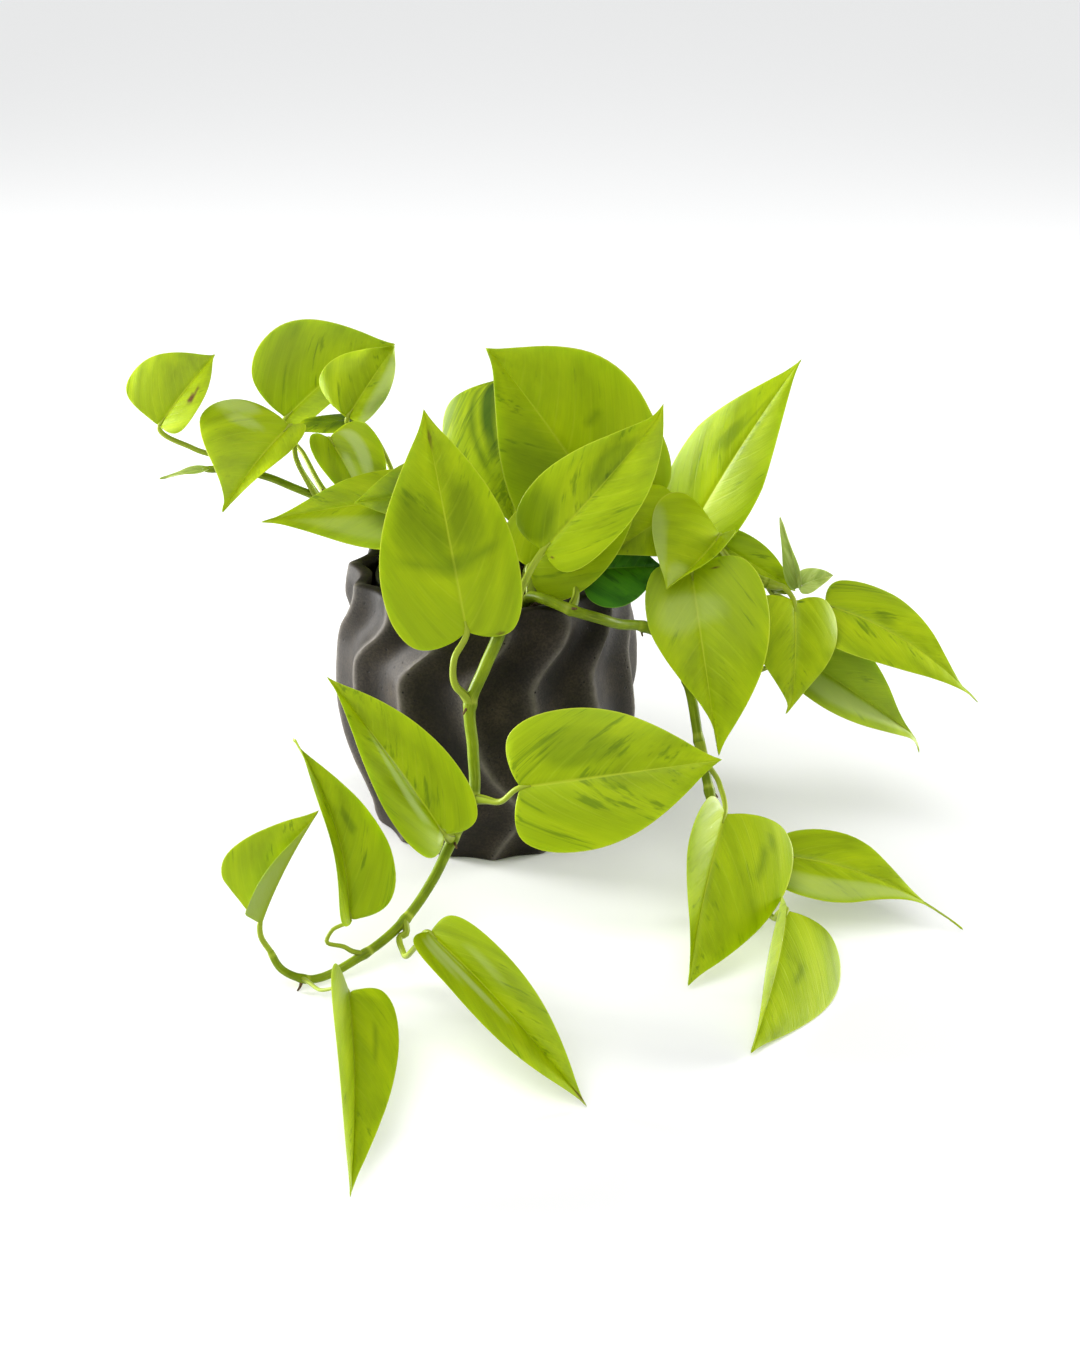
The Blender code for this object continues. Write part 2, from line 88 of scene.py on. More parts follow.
def add_node(tree: bpy.types.NodeTree, kind: str, settings: dict[Any, Any] | None = None,
             links: dict[Any, bpy.types.NodeSocket] | None = None) -> bpy.types.Node:
    """Adds one shader node with its settings and links.

    Args:
        tree: The node tree that takes the node.
        kind: The node's type name without "ShaderNode".
        settings: Values by property name, or by input name or number. "stops" holds a colour ramp's
            (place, "#rrggbb" or grey value) rows.
        links: Output sockets by the name or number of the input that each one feeds.

    Returns:
        The new node.
    """
    node = tree.nodes.new("ShaderNode" + kind)
    for key, value in (settings or {}).items():
        if key == "stops":
            ramp = node.color_ramp
            while len(ramp.elements) < len(value):
                ramp.elements.new(0.5)
            for stop, (place, tone) in zip(ramp.elements, value):
                stop.position = place
                stop.color = linear(tone) if isinstance(tone, str) else (tone, tone, tone, 1.0)
        elif isinstance(key, str) and hasattr(node, key):
            setattr(node, key, value)
        else:
            node.inputs[key].default_value = value
    for key, socket in (links or {}).items():
        tree.links.new(socket, node.inputs[key])
    return node


def new_material(name: str) -> tuple[bpy.types.Material, bpy.types.NodeTree, bpy.types.Node]:
    """Starts a material that holds only its Principled shader and its output.

    Args:
        name: What the real surface is and how it was made.

    Returns:
        The material, its node tree and its Principled node.
    """
    made = bpy.data.materials.new(name)
    made.use_nodes = True
    return made, made.node_tree, made.node_tree.nodes["Principled BSDF"]


def connect(tree: bpy.types.NodeTree, shader: bpy.types.Node, colour: bpy.types.NodeSocket,
            relief: bpy.types.NodeSocket, strength: float, depth: float, values: dict[str, Any]) -> None:
    """Ends a finish: feeds its colour and relief to the shader and sets what is the same everywhere.

    Args:
        tree: The material's node tree.
        shader: Its Principled node.
        colour: The finished colour.
        relief: Heights for the bump.
        strength: How much of the bump shows.
        depth: The relief's depth in metres.
        values: Values of the shader's other inputs by name.
    """
    bump = add_node(tree, "Bump", {"Strength": strength, "Distance": depth}, {"Height": relief})
    tree.links.new(colour, shader.inputs["Base Color"])
    tree.links.new(bump.outputs["Normal"], shader.inputs["Normal"])
    for name, value in values.items():
        shader.inputs[name].default_value = value


# ------------------------------------------------------------------ finishes
@dataclass(frozen=True)
class ConcreteFinish:
    """Dark pigmented concrete, cast in a mould and left unsealed: dull, cloudy, with fine air pits."""

    deep: str = "#100d07"
    body: str = "#221c13"
    cloud: str = "#372f23"
    # painted light on the flutes' shoulders
    painted_light_tone: str = "#57514a"
    # crests paler by wear and by a painted highlight
    wear_and_highlight: str = "#8f887e"
    roughness: float = 0.62

    def material(self) -> bpy.types.Material:
        """Builds the cast concrete from clouds, sand grains, pits, crests paler by wear and by painted
        highlight, and painted light on their shoulders.
        """
        made, tree, shader = new_material("cast_concrete_dark")
        where = add_node(tree, "TexCoord").outputs["Object"]
        looks = add_node(tree, "Attribute", {"attribute_name": "looks"})
        crest = add_node(tree, "SeparateColor", links={"Color": looks.outputs["Color"]})
        # clouds 25 mm across, where the pigment settled unevenly
        clouds = add_node(tree, "TexNoise", {"Scale": 40.0, "Detail": 7.0, "Roughness": 0.62},
                          {"Vector": where})
        colour = add_node(tree, "ValToRGB",
                          {"stops": [(0.30, self.deep), (0.50, self.body), (0.72, self.cloud)]},
                          {"Fac": clouds.outputs["Fac"]})
        # painted light: the shoulders on both sides of a crest are painted paler than the hollows, which are
        # left in painted shade
        dry = add_node(tree, "Math", {"operation": "MULTIPLY", 1: 0.38}, {0: crest.outputs["Green"]})
        toned = add_node(tree, "Mix", {"data_type": "RGBA", 7: linear(self.painted_light_tone)},
                         {0: dry.outputs[0], 6: colour.outputs["Color"]})
        # sand grains 0.9 mm across, drawn a little coarser than they are so that they show
        sand = add_node(tree, "TexNoise", {"Scale": 1100.0, "Detail": 2.0}, {"Vector": where})
        grains = add_node(tree, "ValToRGB", {"stops": [(0.38, 0.25), (0.62, 0.75)]},
                          {"Fac": sand.outputs["Fac"]})
        grained = add_node(tree, "Mix", {"data_type": "RGBA", "blend_type": "SOFT_LIGHT", 0: 0.55},
                           {6: toned.outputs[2], 7: grains.outputs["Color"]})
        # crests rubbed pale by handling, in broken stretches, which also paint a highlight along the crests
        scuffs = add_node(tree, "TexNoise", {"Scale": 160.0, "Detail": 4.0}, {"Vector": where})
        rubbed_and_highlit = add_node(tree, "Math", {"operation": "MULTIPLY", 1: 0.7}, {0: crest.outputs["Red"]})
        broken = add_node(tree, "Math", {"operation": "MULTIPLY"},
                          {0: scuffs.outputs["Fac"], 1: rubbed_and_highlit.outputs[0]})
        wear_and_highlight = add_node(tree, "Mix", {"data_type": "RGBA", 7: linear(self.wear_and_highlight)},
                        {0: broken.outputs[0], 6: grained.outputs[2]})
        # air pits, about one every 5 mm and 0.7 mm wide
        cells = add_node(tree, "TexVoronoi", {"Scale": 210.0, "Randomness": 1.0}, {"Vector": where})
        pits = add_node(tree, "ValToRGB", {"stops": [(0.07, 1.0), (0.13, 0.0)]},
                        {"Fac": cells.outputs["Distance"]})
        pitted = add_node(tree, "Mix", {"data_type": "RGBA", 7: linear("#161310")},
                          {0: pits.outputs["Color"], 6: wear_and_highlight.outputs[2]})
        height = add_node(tree, "Math", {"operation": "MULTIPLY_ADD", 1: -1.6},
                          {0: pits.outputs["Color"], 2: sand.outputs["Fac"]})
        connect(tree, shader, pitted.outputs[2], height.outputs[0], 0.45, 0.00022,
                {"Roughness": self.roughness, "Specular IOR Level": 0.20})
        return made


@dataclass(frozen=True)
class LinerFinish:
    """Black polypropylene, thin and injection moulded: satin, with faint dust."""

    body: str = "#111110"
    dust: str = "#2b2926"
    roughness: float = 0.46

    def material(self) -> bpy.types.Material:
        """Builds the moulded plastic with soil dust in uneven patches."""
        made, tree, shader = new_material("moulded_polypropylene_black")
        where = add_node(tree, "TexCoord").outputs["Object"]
        patches = add_node(tree, "TexNoise", {"Scale": 90.0, "Detail": 5.0}, {"Vector": where})
        colour = add_node(tree, "ValToRGB", {"stops": [(0.45, self.body), (0.75, self.dust)]},
                          {"Fac": patches.outputs["Fac"]})
        grain = add_node(tree, "TexNoise", {"Scale": 1500.0}, {"Vector": where})
        connect(tree, shader, colour.outputs["Color"], grain.outputs["Fac"], 0.2, 0.00005,
                {"Roughness": self.roughness, "IOR": 1.49})
        return made


@dataclass(frozen=True)
class SoilFinish:
    """Damp peat and bark potting mix: dark, crumbly and dull. Perlite and dry root skin are like it."""

    name: str = "peat_potting_mix"
    low: str = "#1a120c"
    high: str = "#4a3626"
    roughness: float = 0.95

    def material(self) -> bpy.types.Material:
        """Builds the mix from crumbs 1 to 3 mm across of two tones."""
        made, tree, shader = new_material(self.name)
        where = add_node(tree, "TexCoord").outputs["Object"]
        crumbs = add_node(tree, "TexNoise", {"Scale": 420.0, "Detail": 6.0, "Roughness": 0.7},
                          {"Vector": where})
        colour = add_node(tree, "ValToRGB", {"stops": [(0.35, self.low), (0.68, self.high)]},
                          {"Fac": crumbs.outputs["Fac"]})
        connect(tree, shader, colour.outputs["Color"], crumbs.outputs["Fac"], 0.9, 0.0006,
                {"Roughness": self.roughness, "Specular IOR Level": 0.25})
        return made


@dataclass(frozen=True)
class LeafFinish:
    """Living pothos blade: thin, waxy above, lit through, with soft darker streaks along its side veins."""

    name: str = "pothos_blade_lime"
    deep: str = "#869b00"
    body: str = "#98ae00"
    bright: str = "#a8bb02"
    vein: str = "#b3c228"
    dash: str = "#557400"
    under: str = "#92a524"
    edge: str = "#b4c232"
    # whitish bloom together with painted sheen where gloss would catch the light
    bloom_and_sheen: str = "#bccb7c"
    scar: str = "#5a3a17"
    roughness: float = 0.38

    def material(self) -> bpy.types.Material:
        """Builds the blade from its own UV map and paints.

        The UV map's u runs across the blade. The "looks" attribute holds, for each leaf, a random shift,
        how many dashes it has, how much painted light brightens it and whether a point is on the under side.
        The "marks" attribute holds scars, painted shade with a few dark streaks, where the side vein through
        a point leaves the midrib, and whitish bloom with painted sheen.
        """
        made, tree, shader = new_material(self.name)
        spot = add_node(tree, "UVMap", {"uv_map": "blade"})
        place = add_node(tree, "SeparateXYZ", links={"Vector": spot.outputs["UV"]})
        looks = add_node(tree, "Attribute", {"attribute_name": "looks"})
        look = add_node(tree, "SeparateColor", links={"Color": looks.outputs["Color"]})
        marks = add_node(tree, "Attribute", {"attribute_name": "marks"})
        mark = add_node(tree, "SeparateColor", links={"Color": marks.outputs["Color"]})
        shift = add_node(tree, "Math", {"operation": "MULTIPLY", 1: 83.0}, {0: look.outputs["Red"]})
        own = add_node(tree, "CombineXYZ", links={"X": place.outputs["X"], "Y": mark.outputs["Blue"],
                                                  "Z": shift.outputs[0]})
        # broad soft clouds, drawn out along the side veins
        broad = add_node(tree, "Mapping", {"Scale": (2.4, 3.6, 1.0)}, {"Vector": own.outputs[0]})
        clouds = add_node(tree, "TexNoise", {"Scale": 1.0, "Detail": 3.5, "Roughness": 0.5},
                          {"Vector": broad.outputs[0]})
        tone = add_node(tree, "ValToRGB",
                        {"stops": [(0.30, self.deep), (0.50, self.body), (0.70, self.bright)]},
                        {"Fac": clouds.outputs["Fac"]})
        # fibres about 1 mm apart
        thin = add_node(tree, "Mapping", {"Scale": (6.0, 78.0, 1.0)}, {"Vector": own.outputs[0]})
        fibres = add_node(tree, "TexNoise", {"Scale": 1.0, "Detail": 3.0, "Roughness": 0.6},
                          {"Vector": thin.outputs[0]})
        greys = add_node(tree, "ValToRGB", {"stops": [(0.30, 0.16), (0.70, 0.84)]},
                         {"Fac": fibres.outputs["Fac"]})
        fibred = add_node(tree, "Mix", {"data_type": "RGBA", "blend_type": "SOFT_LIGHT", 0: 0.15},
                          {6: tone.outputs["Color"], 7: greys.outputs["Color"]})
        # dashes about 3 mm wide and 8 mm long, in loose groups, with soft ends
        drawn = add_node(tree, "Mapping", {"Scale": (6.0, 25.0, 1.0)}, {"Vector": own.outputs[0]})
        fine = add_node(tree, "TexNoise", {"Scale": 1.0, "Detail": 3.0, "Roughness": 0.6},
                        {"Vector": drawn.outputs[0]})
        wide = add_node(tree, "Mapping", {"Scale": (2.6, 5.0, 1.0), "Location": (4.0, 7.0, 3.0)},
                        {"Vector": own.outputs[0]})
        groups = add_node(tree, "TexNoise", {"Scale": 1.0, "Detail": 1.0}, {"Vector": wide.outputs[0]})
        grouped = add_node(tree, "Math", {"operation": "MULTIPLY"},
                           {0: fine.outputs["Fac"], 1: groups.outputs["Fac"]})
        cut = add_node(tree, "Math", {"operation": "MULTIPLY_ADD", 1: -0.14, 2: 0.37},
                       {0: look.outputs["Green"]})
        past = add_node(tree, "Math", {"operation": "ADD", 1: 0.14}, {0: cut.outputs[0]})
        dashes = add_node(tree, "MapRange", {"interpolation_type": "SMOOTHSTEP", "To Max": 0.62},
                          {"Value": grouped.outputs[0], "From Min": cut.outputs[0],
                           "From Max": past.outputs[0]})
        # side veins, eight to each half, hardly paler than the blade, fading towards the margin
        turns = add_node(tree, "Math", {"operation": "MULTIPLY", 1: math.tau * 8.0},
                         {0: mark.outputs["Blue"]})
        wavy = add_node(tree, "Math", {"operation": "COSINE"}, {0: turns.outputs[0]})
        across = add_node(tree, "Math", {"operation": "MULTIPLY_ADD", 1: 2.0, 2: -1.0},
                          {0: place.outputs["X"]})
        out = add_node(tree, "Math", {"operation": "ABSOLUTE"}, {0: across.outputs[0]})
        lines = add_node(tree, "MapRange", {"interpolation_type": "SMOOTHSTEP", "From Min": 0.90,
                                            "From Max": 1.0, "To Max": 0.20}, {"Value": wavy.outputs[0]})
        inner = add_node(tree, "MapRange", {"From Min": 0.90, "From Max": 0.30}, {"Value": out.outputs[0]})
        faded = add_node(tree, "Math", {"operation": "MULTIPLY"}, {0: lines.outputs[0], 1: inner.outputs[0]})
        midrib = add_node(tree, "MapRange", {"interpolation_type": "SMOOTHSTEP", "From Min": 0.030,
                                             "From Max": 0.008, "To Max": 0.75}, {"Value": out.outputs[0]})
        ribs = add_node(tree, "Math", {"operation": "MAXIMUM"}, {0: faded.outputs[0], 1: midrib.outputs[0]})
        # a hair of clear yellow along the margin
        rim = add_node(tree, "MapRange", {"interpolation_type": "SMOOTHSTEP", "From Min": 0.975,
                                          "From Max": 0.995, "To Max": 0.7}, {"Value": out.outputs[0]})
        # painted light: a shaded blade's lift towards the pale tone, plus the marks' bloom and painted sheen
        painted_lift = add_node(tree, "Math", {"operation": "ADD", "use_clamp": True},
                        {0: look.outputs["Blue"], 1: marks.outputs["Alpha"]})
        # each tone lies over the ones before it
        laid = fibred.outputs[2]
        # the bloom tone lays whitish bloom with painted sheen, and a blade's painted light
        for over, part in ((self.dash, dashes.outputs[0]), (self.vein, ribs.outputs[0]),
                           (self.edge, rim.outputs[0]), (self.bloom_and_sheen, painted_lift.outputs[0]),
                           (self.under, looks.outputs["Alpha"])):
            laid = add_node(tree, "Mix", {"data_type": "RGBA", 7: linear(over)},
                            {0: part, 6: laid}).outputs[2]
        # painted shade: the marks' green channel darkens the blade where shade falls on it, and lays a few
        # dark streaks
        shaded = add_node(tree, "Mix", {"data_type": "RGBA", "blend_type": "MULTIPLY", 7: linear("#86a04a")},
                          {0: mark.outputs["Green"], 6: laid})
        scarred = add_node(tree, "Mix", {"data_type": "RGBA", 7: linear(self.scar)},
                           {0: mark.outputs["Red"], 6: shaded.outputs[2]})
        # the blade ripples along its fibres, and its veins stand in low relief
        relief = add_node(tree, "Math", {"operation": "MULTIPLY_ADD", 1: 1.5},
                          {0: faded.outputs[0], 2: fibres.outputs["Fac"]})
        risen = add_node(tree, "Math", {"operation": "MULTIPLY_ADD", 1: 2.5},
                         {0: clouds.outputs["Fac"], 2: relief.outputs[0]})
        waxy = add_node(tree, "MapRange", {"To Min": self.roughness - 0.06, "To Max": self.roughness + 0.12},
                        {"Value": clouds.outputs["Fac"]})
        tree.links.new(waxy.outputs[0], shader.inputs["Roughness"])
        connect(tree, shader, scarred.outputs[2], risen.outputs[0], 0.40, 0.00022,
                {"IOR": 1.42, "Specular IOR Level": 0.22, "Subsurface Weight": 0.20,
                 "Subsurface Radius": (0.7, 1.0, 0.10), "Subsurface Scale": 0.0012})
        return made


@dataclass(frozen=True)
class StemFinish:
    """Living pothos stem and petiole: smooth green skin with fine pale lines along it."""

    name: str = "pothos_stem_green"
    body: str = "#7c910c"
    shade: str = "#647806"
    line: str = "#b0bd40"
    margin: str = "#3f3d12"
    old: str = "#6f6a2c"
    roughness: float = 0.42

    def material(self) -> bpy.types.Material:
        """Builds the skin from its UV map: u runs round the stem, v is its length in centimetres.

        The "looks" attribute holds how much of a petiole is sheath, how corky a stem is and how pale.
        """
        made, tree, shader = new_material(self.name)
        spot = add_node(tree, "UVMap", {"uv_map": "blade"})
        drawn = add_node(tree, "Mapping", {"Scale": (16.0, 0.9, 1.0)}, {"Vector": spot.outputs["UV"]})
        lines = add_node(tree, "TexNoise", {"Scale": 1.0, "Detail": 2.0}, {"Vector": drawn.outputs[0]})
        where = add_node(tree, "TexCoord").outputs["Object"]
        patches = add_node(tree, "TexNoise", {"Scale": 110.0, "Detail": 3.0}, {"Vector": where})
        tone = add_node(tree, "ValToRGB", {"stops": [(0.36, self.shade), (0.62, self.body)]},
                        {"Fac": patches.outputs["Fac"]})
        thin = add_node(tree, "MapRange", {"From Min": 0.55, "From Max": 0.75, "To Max": 0.35},
                        {"Value": lines.outputs["Fac"]})
        looks = add_node(tree, "Attribute", {"attribute_name": "looks"})
        look = add_node(tree, "SeparateColor", links={"Color": looks.outputs["Color"]})
        # a sheath's two dry margins, one on each side of its open face, at u = 0.14 and 0.86
        turn = add_node(tree, "SeparateXYZ", links={"Vector": spot.outputs["UV"]})
        face = add_node(tree, "Math", {"operation": "PINGPONG", 1: 0.5}, {0: turn.outputs["X"]})
        margins = add_node(tree, "ValToRGB", {"stops": [(0.10, 0.0), (0.14, 1.0), (0.18, 0.0)]},
                           {"Fac": face.outputs[0]})
        dry = add_node(tree, "Math", {"operation": "MULTIPLY"},
                       {0: margins.outputs["Color"], 1: look.outputs["Red"]})
        # each tone lies over the ones before it
        laid = tone.outputs["Color"]
        for over, part in ((self.line, thin.outputs[0]), (self.line, look.outputs["Blue"]),
                           (self.old, look.outputs["Green"]), (self.margin, dry.outputs[0])):
            laid = add_node(tree, "Mix", {"data_type": "RGBA", 7: linear(over)},
                            {0: part, 6: laid}).outputs[2]
        connect(tree, shader, laid, lines.outputs["Fac"], 0.35, 0.0001,
                {"Roughness": self.roughness, "IOR": 1.42, "Specular IOR Level": 0.22,
                 "Subsurface Weight": 0.12, "Subsurface Radius": (0.6, 1.0, 0.15),
                 "Subsurface Scale": 0.0015})
        return made


# ------------------------------------------------------------------ curves and skins
def unit(vectors: Array) -> Array:
    """Vectors of length 1 along the last axis."""
    return vectors / np.maximum(np.linalg.norm(vectors, axis=-1, keepdims=True), 1e-12)


def smooth_between(x: Array, table: Any) -> Array:
    """Reads a table along a smooth curve through its rows.

    Between two rows the value is the cubic that has the rows' values and their mean slopes.

    Args:
        x: Places to read.
        table: Rows of (place, value).

    Returns:
        The values at x.
    """
    places, values = np.array(table, float).T
    slopes = np.gradient(values, places)
    row = np.clip(np.searchsorted(places, x, side="right") - 1, 0, len(places) - 2)
    step = places[row + 1] - places[row]
    u = (x - places[row]) / step
    start = (2 * u**3 - 3 * u**2 + 1) * values[row] + (u**3 - 2 * u**2 + u) * step * slopes[row]
    return start + (3 * u**2 - 2 * u**3) * values[row + 1] + (u**3 - u**2) * step * slopes[row + 1]


def route(points: Sequence[Sequence[float]], spacing: float) -> tuple[Array, Array]:
    """A smooth line through points, each coordinate read from its own table over the chord length.

    Args:
        points: The points that the line passes.
        spacing: Distance between the points of the result.

    Returns:
        The line's points and the chord length at which each given point lies.
    """
    given = np.array(points, float)
    reach = np.concatenate([[0.0], np.cumsum(np.linalg.norm(np.diff(given, axis=0), axis=1))])
    places = np.linspace(0.0, reach[-1], max(3, int(round(reach[-1] / spacing)) + 1))
    if len(given) == 2:
        line = np.stack([np.interp(places, reach, given[:, k]) for k in range(3)], 1)
    else:
        line = np.stack([smooth_between(places, np.stack([reach, given[:, k]], 1)) for k in range(3)], 1)
    return line, reach


def lumpy(points: Array, size: float, seed: int) -> Array:
    """A soft random field: the mean of ten sine waves in random directions, from -1 to 1.

    Args:
        points: Places in millimetres, shape (..., 3).
        size: Rough width of a lump in millimetres.
        seed: Picks the waves.

    Returns:
        The field at the points.
    """
    dice = np.random.default_rng(seed)
    waves = unit(dice.normal(size=(10, 3))) * dice.uniform(0.7, 1.6, (10, 1)) * math.pi / size
    return np.sin(points @ waves.T + dice.uniform(0, math.tau, 10)).mean(-1) * 2.2


@dataclass
class Skin:
    """A closed surface: points in millimetres, faces, a UV pair for each face corner, and paints."""

    points: Array
    quads: Array
    tris: Array
    quad_uv: Array
    tri_uv: Array
    looks: Array
    marks: Array
    finish: int = 0


def closed_skin(rows: Array, first: Array, last: Array, u: Array, v: Array, looks: Array | None = None,
                marks: Array | None = None, finish: int = 0) -> Skin:
    """Closes rows of rings into one skin, with a pole at each end.

    Args:
        rows: Ring points, shape (rings, columns, 3), each ring running round the axis the same way.
        first: The pole before the first ring.
        last: The pole after the last ring.
        u: UV across at each column, one longer than the columns for the corner that closes the ring.
        v: UV along at each ring.
        looks: Four paint values for each ring point, shape (rings, columns, 4).
        marks: Four more paint values for each ring point.
        finish: Number of the piece's material that the skin wears.

    Returns:
        The skin, with its faces pointing out where rings run counter-clockwise about the way ahead.
    """
    rings, columns = rows.shape[:2]
    points = np.concatenate([rows.reshape(-1, 3), [first, last]])
    j = np.arange(columns)
    k = (j + 1) % columns
    i = np.arange(rings - 1)[:, None] * columns
    quads = np.stack([i + j, i + k, i + columns + k, i + columns + j], -1).reshape(-1, 4)
    top = (rings - 1) * columns
    tris = np.concatenate([np.stack([k, j, np.full(columns, rings * columns)], -1),
                           np.stack([top + j, top + k, np.full(columns, rings * columns + 1)], -1)])
    left, right = u[:-1], u[1:]
    middle = (left + right) / 2.0
    quad_uv = np.empty((rings - 1, columns, 4, 2))
    quad_uv[..., 0] = np.stack([left, right, right, left], -1)
    quad_uv[..., 1] = np.stack([v[:-1], v[:-1], v[1:], v[1:]], -1)[:, None]
    quad_uv = quad_uv.reshape(-1, 4, 2)
    tri_uv = np.empty((2, columns, 3, 2))
    tri_uv[0, ..., 0] = np.stack([right, left, middle], -1)
    tri_uv[1, ..., 0] = np.stack([left, right, middle], -1)
    tri_uv[..., 1] = v[[0, -1], None, None]
    tri_uv = tri_uv.reshape(-1, 3, 2)
    paints = []
    for paint in (looks, marks):
        flat = np.zeros((rings * columns, 4)) if paint is None else paint.reshape(-1, 4)
        paints.append(np.concatenate([flat, flat[:columns].mean(0)[None], flat[-columns:].mean(0)[None]]))
    return Skin(points, quads, tris, quad_uv, tri_uv, paints[0], paints[1], finish)


def tube(line: Array, radius: Array, sides: int, looks: Array | None = None, finish: int = 0,
         flat: Array | None = None, up: Array | None = None) -> Skin:
    """A round profile carried along a line, with rounded ends.

    The profile's frame is carried from point to point by taking out its part along the line. A flat
    profile is drawn out sideways and pressed in along up.

    Args:
        line: The line's points, shape (n, 3).
        radius: Radius at each point.
        sides: Corners of the profile.
        looks: Paint at each line point, shape (n, 4).
        finish: Number of the piece's material.
        flat: How many times wider than high the profile is at each point.
        up: The direction that a flat profile is pressed in.

    Returns:
        The closed tube.
    """
    ahead = unit(np.gradient(line, axis=0))
    start = np.array([0.0, 0.0, 1.0]) if up is None else np.array(up, float)
    if abs(ahead[0] @ unit(start)) > 0.95:
        start = np.array([0.3, -0.9, 0.2])
    normals = np.zeros_like(line)
    carried = start
    for n, way in enumerate(ahead):
        carried = unit(carried - (carried @ way) * way)
        normals[n] = carried
    binormals = np.cross(ahead, normals)
    angle = np.linspace(0.0, math.tau, sides, endpoint=False)
    # the profile's height and width, from its flatness
    wide = np.ones(len(line)) if flat is None else np.sqrt(flat)
    rows = (line[:, None] + (radius / wide)[:, None, None] * np.cos(angle)[None, :, None] * normals[:, None]
            + (radius * wide)[:, None, None] * np.sin(angle)[None, :, None] * binormals[:, None])
    length = np.concatenate([[0.0], np.cumsum(np.linalg.norm(np.diff(line, axis=0), axis=1))]) / 10.0
    ends = line[0] - ahead[0] * radius[0] * 0.5, line[-1] + ahead[-1] * radius[-1] * 0.5
    paint = None if looks is None else np.repeat(looks[:, None], sides, 1)
    return closed_skin(rows, ends[0], ends[1], np.linspace(0, 1, sides + 1), length, paint, None, finish)


def make_piece(name: str, skins: Sequence[Skin], finishes: Sequence[bpy.types.Material],
               replaced: Sequence[str] = ()) -> bpy.types.Object:
    """Writes skins into one mesh object that rides on the plant's body.

    Args:
        name: The piece's name.
        skins: The closed surfaces that make it up.
        finishes: The piece's materials, which the skins number.
        replaced: The CAD nodes that it stands for.

    Returns:
        The new object.
    """
    starts = np.cumsum([0] + [len(s.points) for s in skins])[:-1]
    points = np.concatenate([s.points for s in skins]) * MM
    faces = [f for s, at in zip(skins, starts) for f in (s.quads + at).tolist() + (s.tris + at).tolist()]
    mesh = bpy.data.meshes.new(name)
    mesh.from_pydata(points.tolist(), [], faces)
    corners = np.concatenate([np.concatenate([s.quad_uv.reshape(-1, 2), s.tri_uv.reshape(-1, 2)])
                              for s in skins])
    mesh.uv_layers.new(name="blade").data.foreach_set("uv", corners.astype(np.float32).ravel())
    for title, paints in (("looks", [s.looks for s in skins]), ("marks", [s.marks for s in skins])):
        paint = mesh.attributes.new(title, "FLOAT_COLOR", "POINT")
        paint.data.foreach_set("color", np.concatenate(paints).astype(np.float32).ravel())
    numbers = np.concatenate([np.full(len(s.quads) + len(s.tris), s.finish) for s in skins])
    for finish in finishes:
        mesh.materials.append(finish)
    mesh.polygons.foreach_set("material_index", numbers.astype(np.int32))
    mesh.validate()
    mesh.shade_smooth()
    made = bpy.data.objects.new(name, mesh)
    bpy.context.scene.collection.objects.link(made)
    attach(made, BODY)
    if replaced:
        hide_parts(*replaced)
    LOG.info("%s: %d faces", name, len(faces))
    return made


